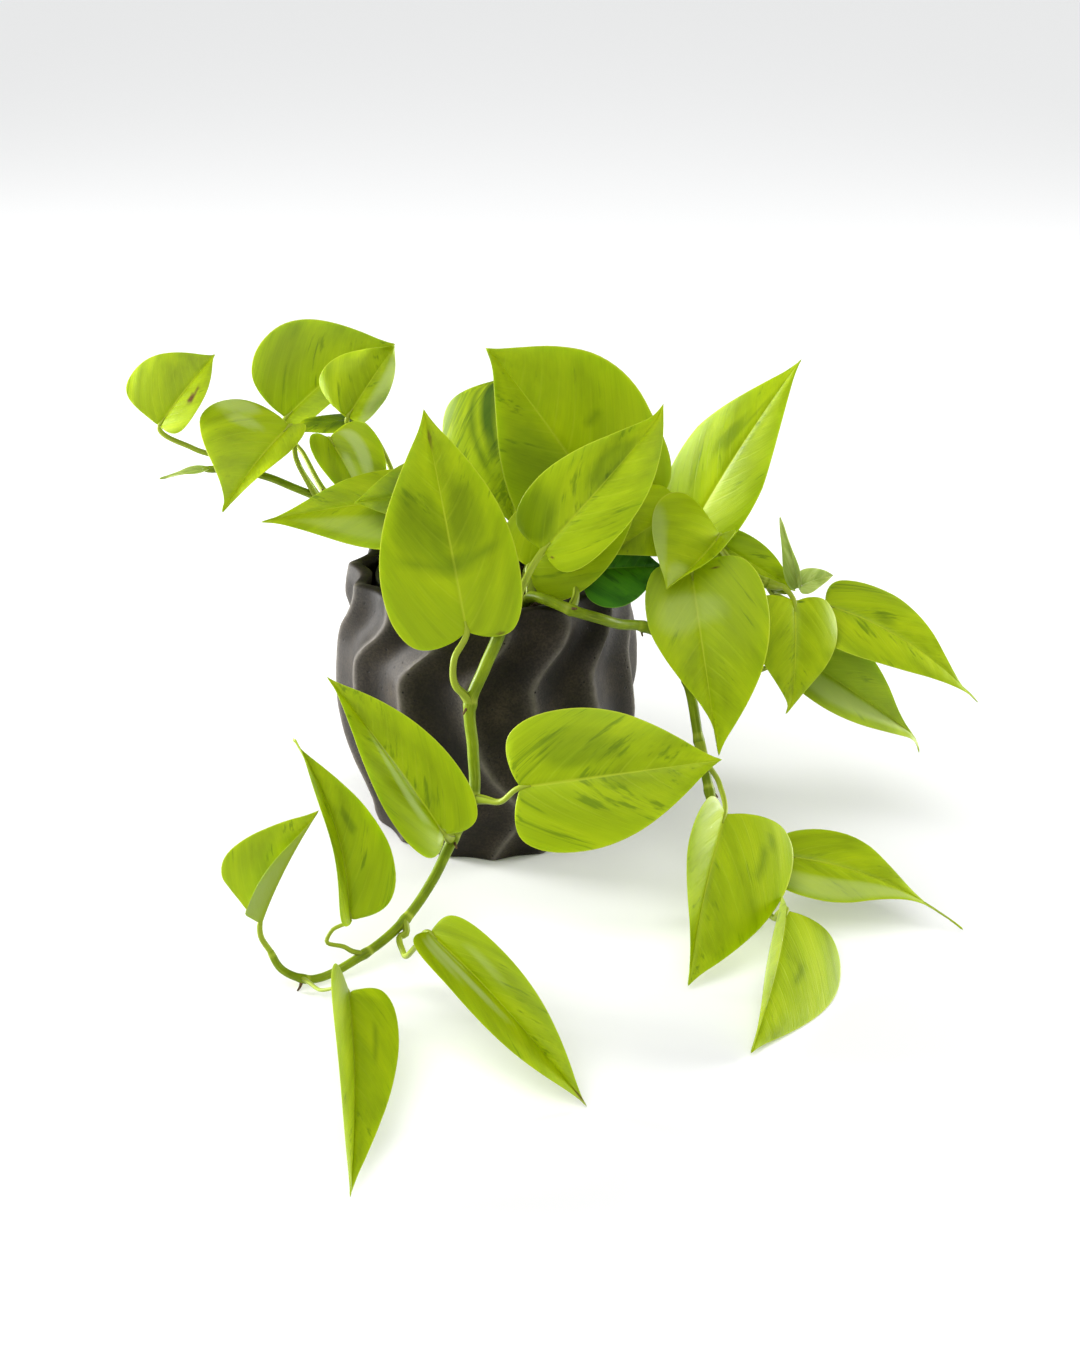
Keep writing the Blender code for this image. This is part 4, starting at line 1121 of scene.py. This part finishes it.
LEAVES: dict[str, Leaf] = {
    # left vine, from its growing end back to the planter
    "leaf_left_1": Leaf((-135, 8, 174), (-112, 20, 201), (-0.3, -0.7, 0.6), 44, 16, 18, 20, lobe=0.1,
                        left=1.14, right=0.62, slim=(0.2, 0.0), node=("vine_left", 9),
                        via=((-121, 5, 165),), dashes=0.1,
                        marks=(Mark(0.55, 0.62, 0.12, 0.05, 1.0, Paint.SCAR),
                               Mark(0.62, 0.70, 0.07, 0.03, 0.8, Paint.SCAR))),
    "leaf_left_2": Leaf((-80, -2, 177), (-105, -34, 151), (-0.3, -0.65, 0.7), 60, 26, 24, 30, lobe=0.6,
                        left=0.44, right=1.2, slim=(0.9, 1.6), node=("vine_left", 6), via=((-78, -2, 163),),
                        dashes=0.2,
                        marks=(Mark(0.75, 0.30, 0.30, 0.10, 0.45, Paint.BLOOM),
                               Mark(0.45, 0.42, 0.25, 0.05, 0.35, Paint.BLOOM))),
    "leaf_left_3": Leaf((-87, 47, 165), (-40, 63, 193), (0.0, -0.85, 0.5), 58, 24, 16, 20, -3, left=1.1,
                        right=0.34, slim=(0.3, 0.3), node=("vine_left", 5), via=((-77, 22, 156),),
                        dashes=0.3),
    "leaf_left_4": Leaf((-58, 20, 174), (-38, 26, 203), (-0.1, -1.0, 0.3), 36, 24, 14, 40, lobe=0.0,
                        left=1.12, right=0.5, slim=(0.3, -1.0), wave=1.8, node=("vine_left", 3),
                        via=((-51, 23, 156),), dashes=0.3,
                        marks=(Mark(0.85, 0.60, 0.45, 0.34, 0.55, Paint.BLOOM),)),
    "leaf_left_5": Leaf((-57, 32, 169), (-83, 15, 167), (0.1, -0.05, 1.0), 20, 30, 12, 40,
                        node=("vine_left", 2), via=((-41, 30, 147),), dashes=1.0,
                        marks=(Mark(0.0, 0.5, 0.9, 0.4, 0.8),)),
    "leaf_left_6": Leaf((-65, 9, 168), (-47, -8, 136), (0.5, -0.6, 0.6), 36, 22, 34, 20,
                        node=("vine_left", 4), via=((-63, 9, 157),), dashes=0.2,
                        marks=(Mark(-0.5, 0.45, 0.16, 0.30, 0.6, Paint.BLOOM),
                               Mark(-0.1, 0.65, 0.12, 0.20, 0.5, Paint.BLOOM))),
    "leaf_left_bud": Leaf((-116, 5, 156), (-136, 4, 152), (0.0, -0.3, 1.0), 5, 12, 20, 10,
                          kind=Slot.YOUNG_LEAF),
    # crown, left half
    "leaf_crown_1": Leaf((-20, -12, 150), (-90, -34, 147), (-0.1, -0.6, 0.8), 42, 15, 12, 20, left=1.2,
                         right=0.73, slim=(0.6, 1.3), node=("stem_crown_left", 3), via=((-15, -9, 142),),
                         dashes=0.2, marks=(Mark(-0.6, 0.55, 0.25, 0.3, 0.3, Paint.BLOOM),)),
    "leaf_crown_2": Leaf((-8, -22, 157), (-52, -34, 155), (-0.1, -0.7, 0.7), 32, 15, 12, 20,
                         node=("stem_crown_left", 2), via=((-4, -14, 132), (-4, -21, 148)), dashes=0.4,
                         marks=(Mark(-0.2, 0.6, 1.2, 0.35, 0.6),)),
    "leaf_crown_3": Leaf((8, 19, 191), (12, -3, 133), (-0.3, -0.8, 0.5), 54, 20, 10, 30, lobe=-0.6,
                         right=1.12, node=("stem_crown_left", 3), via=((-8, 12, 150), (2, 20, 172)),
                         dashes=1.0,
                         marks=(Mark(0.25, 0.35, 0.12, 0.35, 1.0), Mark(0.5, 0.45, 0.06, 0.3, 0.7))),
    # crown, right half
    "leaf_crown_4": Leaf((52, -1, 137), (1, 7, 208), (0.3, -0.9, 0.3), 76, 18, 20, 12, 0, left=0.95,
                         right=0.98, slim=(0.7, -1.0), hook=-1.0, node=("stem_crown_right", 3),
                         via=((38, 4, 128),), dashes=0.25,
                         marks=(Mark(0.45, 0.62, 0.06, 0.02, 0.6), Mark(-0.5, 0.55, 0.6, 0.25, 0.45))),
    "leaf_crown_5": Leaf((24, -52, 142), (72, -50, 200), (-0.3, -0.9, 0.3), 48, 16, 16, 20, 1, lobe=0.4,
                         left=0.88, right=0.78, slim=(0.9, -0.6), hook=-2.5, node=("vine_front", 5),
                         via=((15, -63, 129),), stalk=1.6, dashes=0.4,
                         marks=(Mark(-0.6, 0.30, 0.5, 0.18, 0.5), Mark(-0.3, 0.75, 0.4, 0.12, 0.45),
                                Mark(0.5, 0.16, 0.05, 0.02, 1.0, Paint.SCAR))),
    "leaf_crown_6": Leaf((18, -34, 128), (66, -28, 164), (-0.1, -0.8, 0.5), 44, 15, 10, 20,
                         node=("vine_right_low", 3), dashes=0.2),
    "leaf_crown_7": Leaf((80, -7, 143), (50, -35, 133), (0.1, -0.7, 0.7), 34, 15, 10, 20,
                         node=("vine_right_high", 3), via=((72, -5, 134),), dashes=0.2),
    # crown_8 lies low in the crown in shade, and its darker blade finish paints that shade
    "leaf_crown_8": Leaf((40, -34, 126), (73, -17, 121), (-0.1, -0.8, 0.7), 35, 15, 10, 20,
                         node=("vine_right_low", 5), kind=Slot.SHADED_LEAF),
    # front vine, from the rim down
    "leaf_front_1": Leaf((-6, -78, 118), (-22, -58, 202), (0.1, -1.0, 0.2), 58, 20, 8, 16, left=1.03,
                         right=0.86, slim=(0.6, 0.3), node=("vine_front", 7),
                         via=((-10, -83, 96), (-11, -83, 108)), stalk=1.5, dashes=0.2,
                         marks=(Mark(0.0, 0.545, 0.75, 0.035, 0.5), Mark(-0.45, 0.66, 0.45, 0.13, 0.35),
                                Mark(0.4, 0.68, 0.35, 0.12, 0.3),
                                Mark(0.9, 0.17, 0.06, 0.02, 0.8, Paint.SCAR),
                                Mark(0.0, 0.93, 0.3, 0.02, 0.6, Paint.SCAR))),
    "leaf_front_2": Leaf((15, -104, 63), (92, -116, 81), (-0.2, -0.9, 0.4), 56, 12, 5, 12, slim=(0.3, 0.3),
                         node=("vine_front", 9), via=((6, -99, 54),), dashes=0.5,
                         marks=(Mark(-0.45, 0.52, 0.28, 0.16, 0.4),)),
    "leaf_front_3": Leaf((-15, -112, 47), (-60, -92, 105), (0.4, -0.7, 0.6), 44, 16, 28, 10, left=0.95,
                         right=0.88, slim=(1.3, 0.4), node=("vine_front", 10), dashes=0.5,
                         marks=(Mark(-0.25, 0.55, 0.10, 0.24, 0.6, Paint.BLOOM),
                                Mark(-0.05, 0.62, 0.06, 0.18, 0.5, Paint.BLOOM),
                                Mark(-0.25, 0.12, 0.4, 0.06, 0.5, Paint.BLOOM))),
    "leaf_front_4": Leaf((-18, -166, 34), (39, -229, 1), (0.05, -0.45, 0.9), 34, 26, 38, 20, lobe=0.1,
                         left=0.82, right=0.9, slim=(0.2, -0.9), node=("vine_front", 12),
                         via=((-31, -132, 13), (-30, -140, 10), (-24, -155, 22)), dashes=0.3,
                         marks=(Mark(0.35, 0.42, 0.10, 0.30, 0.7, Paint.BLOOM),
                                Mark(0.55, 0.36, 0.06, 0.20, 0.6, Paint.BLOOM),
                                Mark(0.15, 0.34, 0.05, 0.16, 0.5, Paint.BLOOM),
                                Mark(-0.45, 0.5, 0.05, 0.2, 0.6, Paint.BLOOM),
                                Mark(0.0, 0.97, 1.0, 0.02, 0.8, Paint.SCAR))),
    "leaf_front_5": Leaf((-50, -140, 25), (-71, -118, 91), (0.7, -0.6, 0.4), 39, 14, 40, 12, 5, lobe=0.3,
                         left=0.8, slim=(0.8, 1.5), wave=1.2, node=("vine_front", 13),
                         via=((-52, -141, 13), (-59, -143, 17), (-57, -142, 21)), stalk=0.9, dashes=0.4,
                         marks=(Mark(0.45, 0.66, 0.10, 0.06, 0.45),)),
    "leaf_front_6": Leaf((-47, -188, 22), (-40, -282, 2), (0.6, -0.1, 0.8), 43, 16, 40, 10, lobe=0.5,
                         left=0.76, right=0.95, slim=(0.8, 0.2), node=("vine_front", 14),
                         via=((-60, -168, 11),), stalk=0.8, dashes=0.3,
                         marks=(Mark(-0.5, 0.5, 0.08, 0.08, 0.45),)),
    "leaf_front_7": Leaf((-83.5, -147, 27), (-59, -150, 77), (-0.8, -0.4, 0.4), 44, 14, 60, 14, lobe=-1.7,
                         right=0.75, slim=(0.5, 1.4), node=("vine_front", 16), end_on=True, dashes=0.3),
    # right high vine, from the rim outwards
    "leaf_right_1": Leaf((88, 13, 129), (129, 3, 204), (-0.6, -0.7, 0.2), 47, 14, 8, 12, 0, 0.3, right=0.88,
                         node=("vine_right_high", 4), dashes=0.4,
                         marks=(Mark(-0.45, 0.66, 0.06, 0.14, 0.65), Mark(-0.3, 0.72, 0.05, 0.12, 0.45))),
    "leaf_right_2": Leaf((84, -34, 126), (95, -66, 58), (-0.1, -0.9, 0.4), 58, 26, 8, 20, left=1.0,
                         right=0.73, slim=(0.4, 2.3), node=("vine_right_high", 4), via=((81, -22, 129),),
                         dashes=0.15,
                         marks=(Mark(-0.5, 0.2, 0.04, 0.012, 1.0, Paint.SCAR),
                                Mark(0.2, 0.45, 0.6, 0.10, 0.3, Paint.BLOOM))),
    "leaf_right_3": Leaf((96, -23, 137), (73, -47, 123), (-0.2, -0.4, 0.9), 58, 30, 38, 15, -3, left=0.4,
                         node=("vine_right_high", 5), dashes=0.1,
                         marks=(Mark(0.95, 0.70, 0.22, 0.2, 0.35, Paint.BLOOM),
                                Mark(0.3, 0.90, 0.5, 0.10, 0.35, Paint.BLOOM))),
    "leaf_right_4": Leaf((99, 6, 122), (131, 1, 103), (0.1, -0.9, 0.4), 20, 20, 12, 25,
                         node=("vine_right_high", 6)),
    "leaf_right_5": Leaf((128, -21, 107), (126, -41, 65), (0.3, -0.8, 0.4), 40, 30, 12, 30, slim=(1.2, 1.0),
                         hook=2.0, node=("vine_right_high", 7), via=((124, -18, 112),), dashes=0.3,
                         marks=(Mark(-0.3, 0.12, 0.12, 0.04, 0.9),)),
    "leaf_right_6": Leaf((144, 0, 97), (206, -30, 65), (0.1, -0.4, 0.9), 45, 40, 8, 20, -1, slim=(2.1, 1.3),
                         node=("vine_right_high", 7), via=((128, -6, 101),), dashes=0.4,
                         marks=(Mark(-0.25, 0.55, 0.15, 0.05, 0.45),)),
    # right_7 lies in the shade of right_6 and right_5, and painted light brightens it
    "leaf_right_7": Leaf((137, 2, 70), (187, -20, 41), (0.1, -0.8, 0.6), 38, 22, 34, 10, 0, slim=(2.0, 0.7),
                         hook=5.0, node=("vine_right_low", 10), via=((92, -34, 78), (114, -13, 72)),
                         dashes=0.1, painted_lift=0.12, marks=(Mark(0.45, 0.5, 0.32, 0.5, 0.6, Paint.BLOOM),)),
    "leaf_right_bud_1": Leaf((131, -6, 108), (122, -6, 139), (-0.6, -0.5, 0.1), 10, 12, 30, 10, 2,
                             kind=Slot.YOUNG_LEAF),
    "leaf_right_bud_2": Leaf((132, -10, 110), (145, -11, 115), (0.1, -0.6, 0.8), 12, 30, 20, 10,
                             kind=Slot.YOUNG_LEAF),
    # right low vine, where it reaches the surface
    "leaf_low_1": Leaf((95, -102, 50), (79, -151, 2), (0.5, -0.6, 0.5), 50, 24, 22, 14, 4, left=1.33,
                       right=0.66, slim=(0.5, 1.6), node=("vine_right_low", 11),
                       via=((91, -66, 54), (94, -86, 55)), dashes=0.4,
                       marks=(Mark(0.7, 0.12, 0.35, 0.10, 0.45, Paint.BLOOM),
                              Mark(-0.6, 0.45, 0.06, 0.08, 0.5), Mark(-0.72, 0.33, 0.05, 0.06, 0.45))),
    "leaf_low_2": Leaf((121, -90, 25), (191, -109, 2), (0.1, -0.3, 0.9), 43, 36, 10, 20, -2, 0.6, left=0.86,
                       slim=(2.6, 2.3), node=("vine_right_low", 14), dashes=0.2,
                       marks=(Mark(0.7, 0.5, 0.25, 0.4, 0.4, Paint.BLOOM),)),
    "leaf_low_3": Leaf((119, -120, 17), (99, -197, 2), (0.7, -0.3, 0.6), 44, 14, 28, 10, lobe=0.4, left=1.2,
                       right=0.5, node=("vine_right_low", 15), via=((117, -107, 8),), end_on=True,
                       dashes=0.4, marks=(Mark(-0.4, 0.6, 0.06, 0.06, 0.45),)),
    # behind the crown
    "leaf_back_1": Leaf((-21, 36, 138), (-42, 88, 112), (0.0, 0.4, 0.9), 50, 30, 10, 20,
                        node=("stem_crown_left", 2), via=((-13, 22, 128),), dashes=0.4),
    "leaf_back_2": Leaf((21, 38, 136), (38, 94, 108), (0.1, 0.4, 0.9), 52, 32, 10, 20,
                        node=("stem_crown_right", 2), via=((18, 22, 124),), dashes=0.5),
    "leaf_back_3": Leaf((46, 20, 128), (88, 58, 110), (0.3, 0.3, 0.9), 44, 28, 10, 20,
                        node=("stem_crown_right", 3), via=((36, 13, 126),), dashes=0.3),
    "leaf_back_4": Leaf((-34, 24, 126), (-66, 68, 106), (-0.2, 0.3, 0.9), 46, 30, 10, 20,
                        node=("stem_crown_left", 3), via=((-22, 12, 128),), dashes=0.6),
}


@dataclass
class Plant:
    """All stems and leaves, each leaf joined to its stem by a petiole."""

    vines: dict[str, Vine] = field(default_factory=lambda: VINES)
    leaves: dict[str, Leaf] = field(default_factory=lambda: LEAVES)

    def petiole(self, leaf: Leaf) -> Skin:
        """The leaf's stalk: from inside the stem, out through a sheath, to just past the blade's base.

        It leaves the stem between straight out and along it, on the side where its blade is. The profile
        is 1.5 times wider than high in the sheath, which clasps the stem, and evens out in 12 mm. The
        radius falls from one and a half to five sixths of the stalk's. A stalk that ends its stem has no
        sheath.

        Args:
            leaf: The leaf that it carries.

        Returns:
            The closed stalk.
        """
        name, number = leaf.node
        vine = self.vines[name]
        given = np.array(vine.points, float)
        centre = given[number]
        tangent = unit(given[min(number + 1, len(given) - 1)] - given[number - 1])
        target = np.array(leaf.via[0] if leaf.via else leaf.base, float)
        reach = unit(target - centre)
        out = unit(reach - reach @ tangent * tangent)
        lean = unit(out + tangent * np.clip(reach @ tangent, -0.75, 0.75) * 1.6)
        start = centre
        if leaf.end_on:
            lean = tangent
            start = centre - tangent * 2.0
        inside = leaf.middle(np.array([0.3]), np.array([0.0]))[0][0, 0]
        base = np.array(leaf.base, float)
        end = base + unit(inside - base) * 4.0
        line, _ = route([start, centre + lean * (vine.radius + 3.5), *leaf.via, base, end], STEP)
        place = np.linspace(0.0, 1.0, len(line))
        run = place * len(line) * STEP
        sheath = np.exp(-((run / 9.0) ** 2)) * (0.0 if leaf.end_on else 1.0)
        radius = leaf.stalk * (0.95 + 0.55 * sheath - 0.12 * place)
        radius = radius * np.clip((1.0 - place) * len(line) / 3.0, 0.35, 1.0)
        looks = np.stack([0.85 * np.sqrt(sheath), place * 0, 0.30 + 0.25 * place, place * 0], 1)
        return tube(line, radius, 14, looks, 1, 1.0 + 0.5 * sheath, -out)

    def build(self, finishes: dict[Slot, bpy.types.Material], bark: bpy.types.Material) -> None:
        """Builds each stem and each leaf as a piece of its own.

        Args:
            finishes: Blade and stem materials by slot.
            bark: The dry skin of the aerial roots.
        """
        for name, vine in self.vines.items():
            nodes = [leaf.node[1] for leaf in self.leaves.values() if leaf.node and leaf.node[0] == name]
            make_piece(name + "_skin", vine.stem(nodes), [finishes[Slot.STEM], bark], [name])
        dice = np.random.default_rng(5)
        for name, leaf in self.leaves.items():
            skins = [leaf.blade(float(dice.uniform()))]
            if leaf.node is not None:
                skins.append(self.petiole(leaf))
            make_piece(name + "_blade", skins, [finishes[leaf.kind], finishes[Slot.STEM]], [name])


# ------------------------------------------------------------------ studio
@dataclass
class Studio:
    """Pale floor, soft lights and the camera.

    sky and sun are strengths, sun_width is in degrees, and boxes holds each softbox's name, place and
    power in watts.
    """

    floor_tone: str = "#fbfbfa"
    sky_tone: str = "#f6f8fb"
    sky: float = 0.38
    sun: float = 1.85
    sun_from: Point = (-0.25, -0.50, 0.85)
    sun_width: float = 62.0
    boxes: tuple = (("left_softbox", (-1.10, 0.30, 0.20), 28.0), ("right_softbox", (1.10, 0.40, 0.20), 15.0))
    box_size: tuple[float, float] = (0.35, 0.42)
    lens: float = 61.07
    camera_at: Point = (0.0225, -0.900, 0.467)
    camera_tilt: float = 65.9

    def place(self, data: bpy.types.Light, at: Point, way: Point) -> None:
        """Puts a light into the scene.

        Args:
            data: The light.
            at: Where it stands, in metres.
            way: The direction from what it lights back to it.
        """
        made = bpy.data.objects.new(data.name, data)
        made.location = at
        made.rotation_euler = (math.atan2(math.hypot(way[0], way[1]), way[2]), 0.0,
                               math.atan2(way[1], way[0]) + math.pi / 2.0)
        bpy.context.scene.collection.objects.link(made)

    def softbox(self, name: str, at: Point, power: float) -> None:
        """Adds an oblong soft light that faces the planter.

        Args:
            name: The light's name.
            at: Where it stands, in metres.
            power: Strength in watts.
        """
        data = bpy.data.lights.new(name, "AREA")
        data.shape = "RECTANGLE"
        data.size, data.size_y = self.box_size
        data.energy = power
        self.place(data, at, (at[0], at[1], at[2] - 0.06))

    def build(self) -> None:
        """Sets up the floor, the sky, the lights and the camera."""
        mesh = bpy.data.meshes.new("studio_floor")
        mesh.from_pydata([(-9, -9, 0), (9, -9, 0), (9, 9, 0), (-9, 9, 0)], [], [(0, 1, 2, 3)])
        made, _, shader = new_material("matte_paper_floor")
        shader.inputs["Base Color"].default_value = linear(self.floor_tone)
        shader.inputs["Roughness"].default_value = 0.9
        shader.inputs["Specular IOR Level"].default_value = 0.1
        mesh.materials.append(made)
        floor = bpy.data.objects.new("studio_floor", mesh)
        bpy.context.scene.collection.objects.link(floor)
        world = bpy.data.worlds.new("studio_sky")
        world.use_nodes = True
        sky = world.node_tree.nodes["Background"]
        sky.inputs["Color"].default_value = linear(self.sky_tone)
        sky.inputs["Strength"].default_value = self.sky
        bpy.context.scene.world = world
        high = bpy.data.lights.new("wide_daylight", "SUN")
        high.energy = self.sun
        high.angle = math.radians(self.sun_width)
        self.place(high, (0.0, 0.0, 2.0), self.sun_from)
        for name, at, power in self.boxes:
            self.softbox(name, at, power)
        lens = bpy.data.cameras.new("front_camera")
        lens.lens = self.lens
        lens.sensor_width = 36.0
        lens.clip_end = 50.0
        camera = bpy.data.objects.new("front_camera", lens)
        camera.location = self.camera_at
        camera.rotation_euler = (math.radians(self.camera_tilt), 0.0, 0.0)
        bpy.context.scene.collection.objects.link(camera)
        bpy.context.scene.camera = camera
        bpy.context.scene.view_settings.view_transform = "Standard"


def main() -> None:
    """Builds the whole part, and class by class."""
    logging.basicConfig(level=logging.INFO, format="%(name)s: %(message)s")
    Studio().build()
    Planter().build(ConcreteFinish().material())
    Liner().build(LinerFinish().material())
    soil = Soil()
    peat = SoilFinish().material()
    soil.build(peat)
    soil.scatter("soil_crumbs", soil.crumbs, (0.5, 1.7), 21, peat)
    soil.scatter("soil_perlite", soil.perlite, (0.7, 1.4), 22,
                 SoilFinish("expanded_perlite_grain", "#b9b4a8", "#ece8df", 0.9).material())
    bark = SoilFinish("dry_aerial_root", "#3a2a18", "#7a6036", 0.85).material()
    finishes = {
        Slot.STEM: StemFinish().material(),
        Slot.LEAF: LeafFinish().material(),
        Slot.YOUNG_LEAF: LeafFinish("pothos_blade_young", deep="#93a848", body="#a9bb5c", bright="#bccb76",
                                    vein="#cdd694", dash="#8a9c3c", under="#b4c278",
                                    edge="#cdd694").material(),
        # painted shade: a darker copy of the blade finish for the leaf in shade low in the crown
        Slot.SHADED_LEAF: LeafFinish("pothos_blade_painted_shade", deep="#1f5200", body="#2f6a00", bright="#3f7c04",
                                  vein="#5f8f1c", dash="#184200", under="#5b8224",
                                  edge="#6f9a2c").material(),
    }
    Plant().build(finishes, bark)


if __name__ == "__main__":
    main()
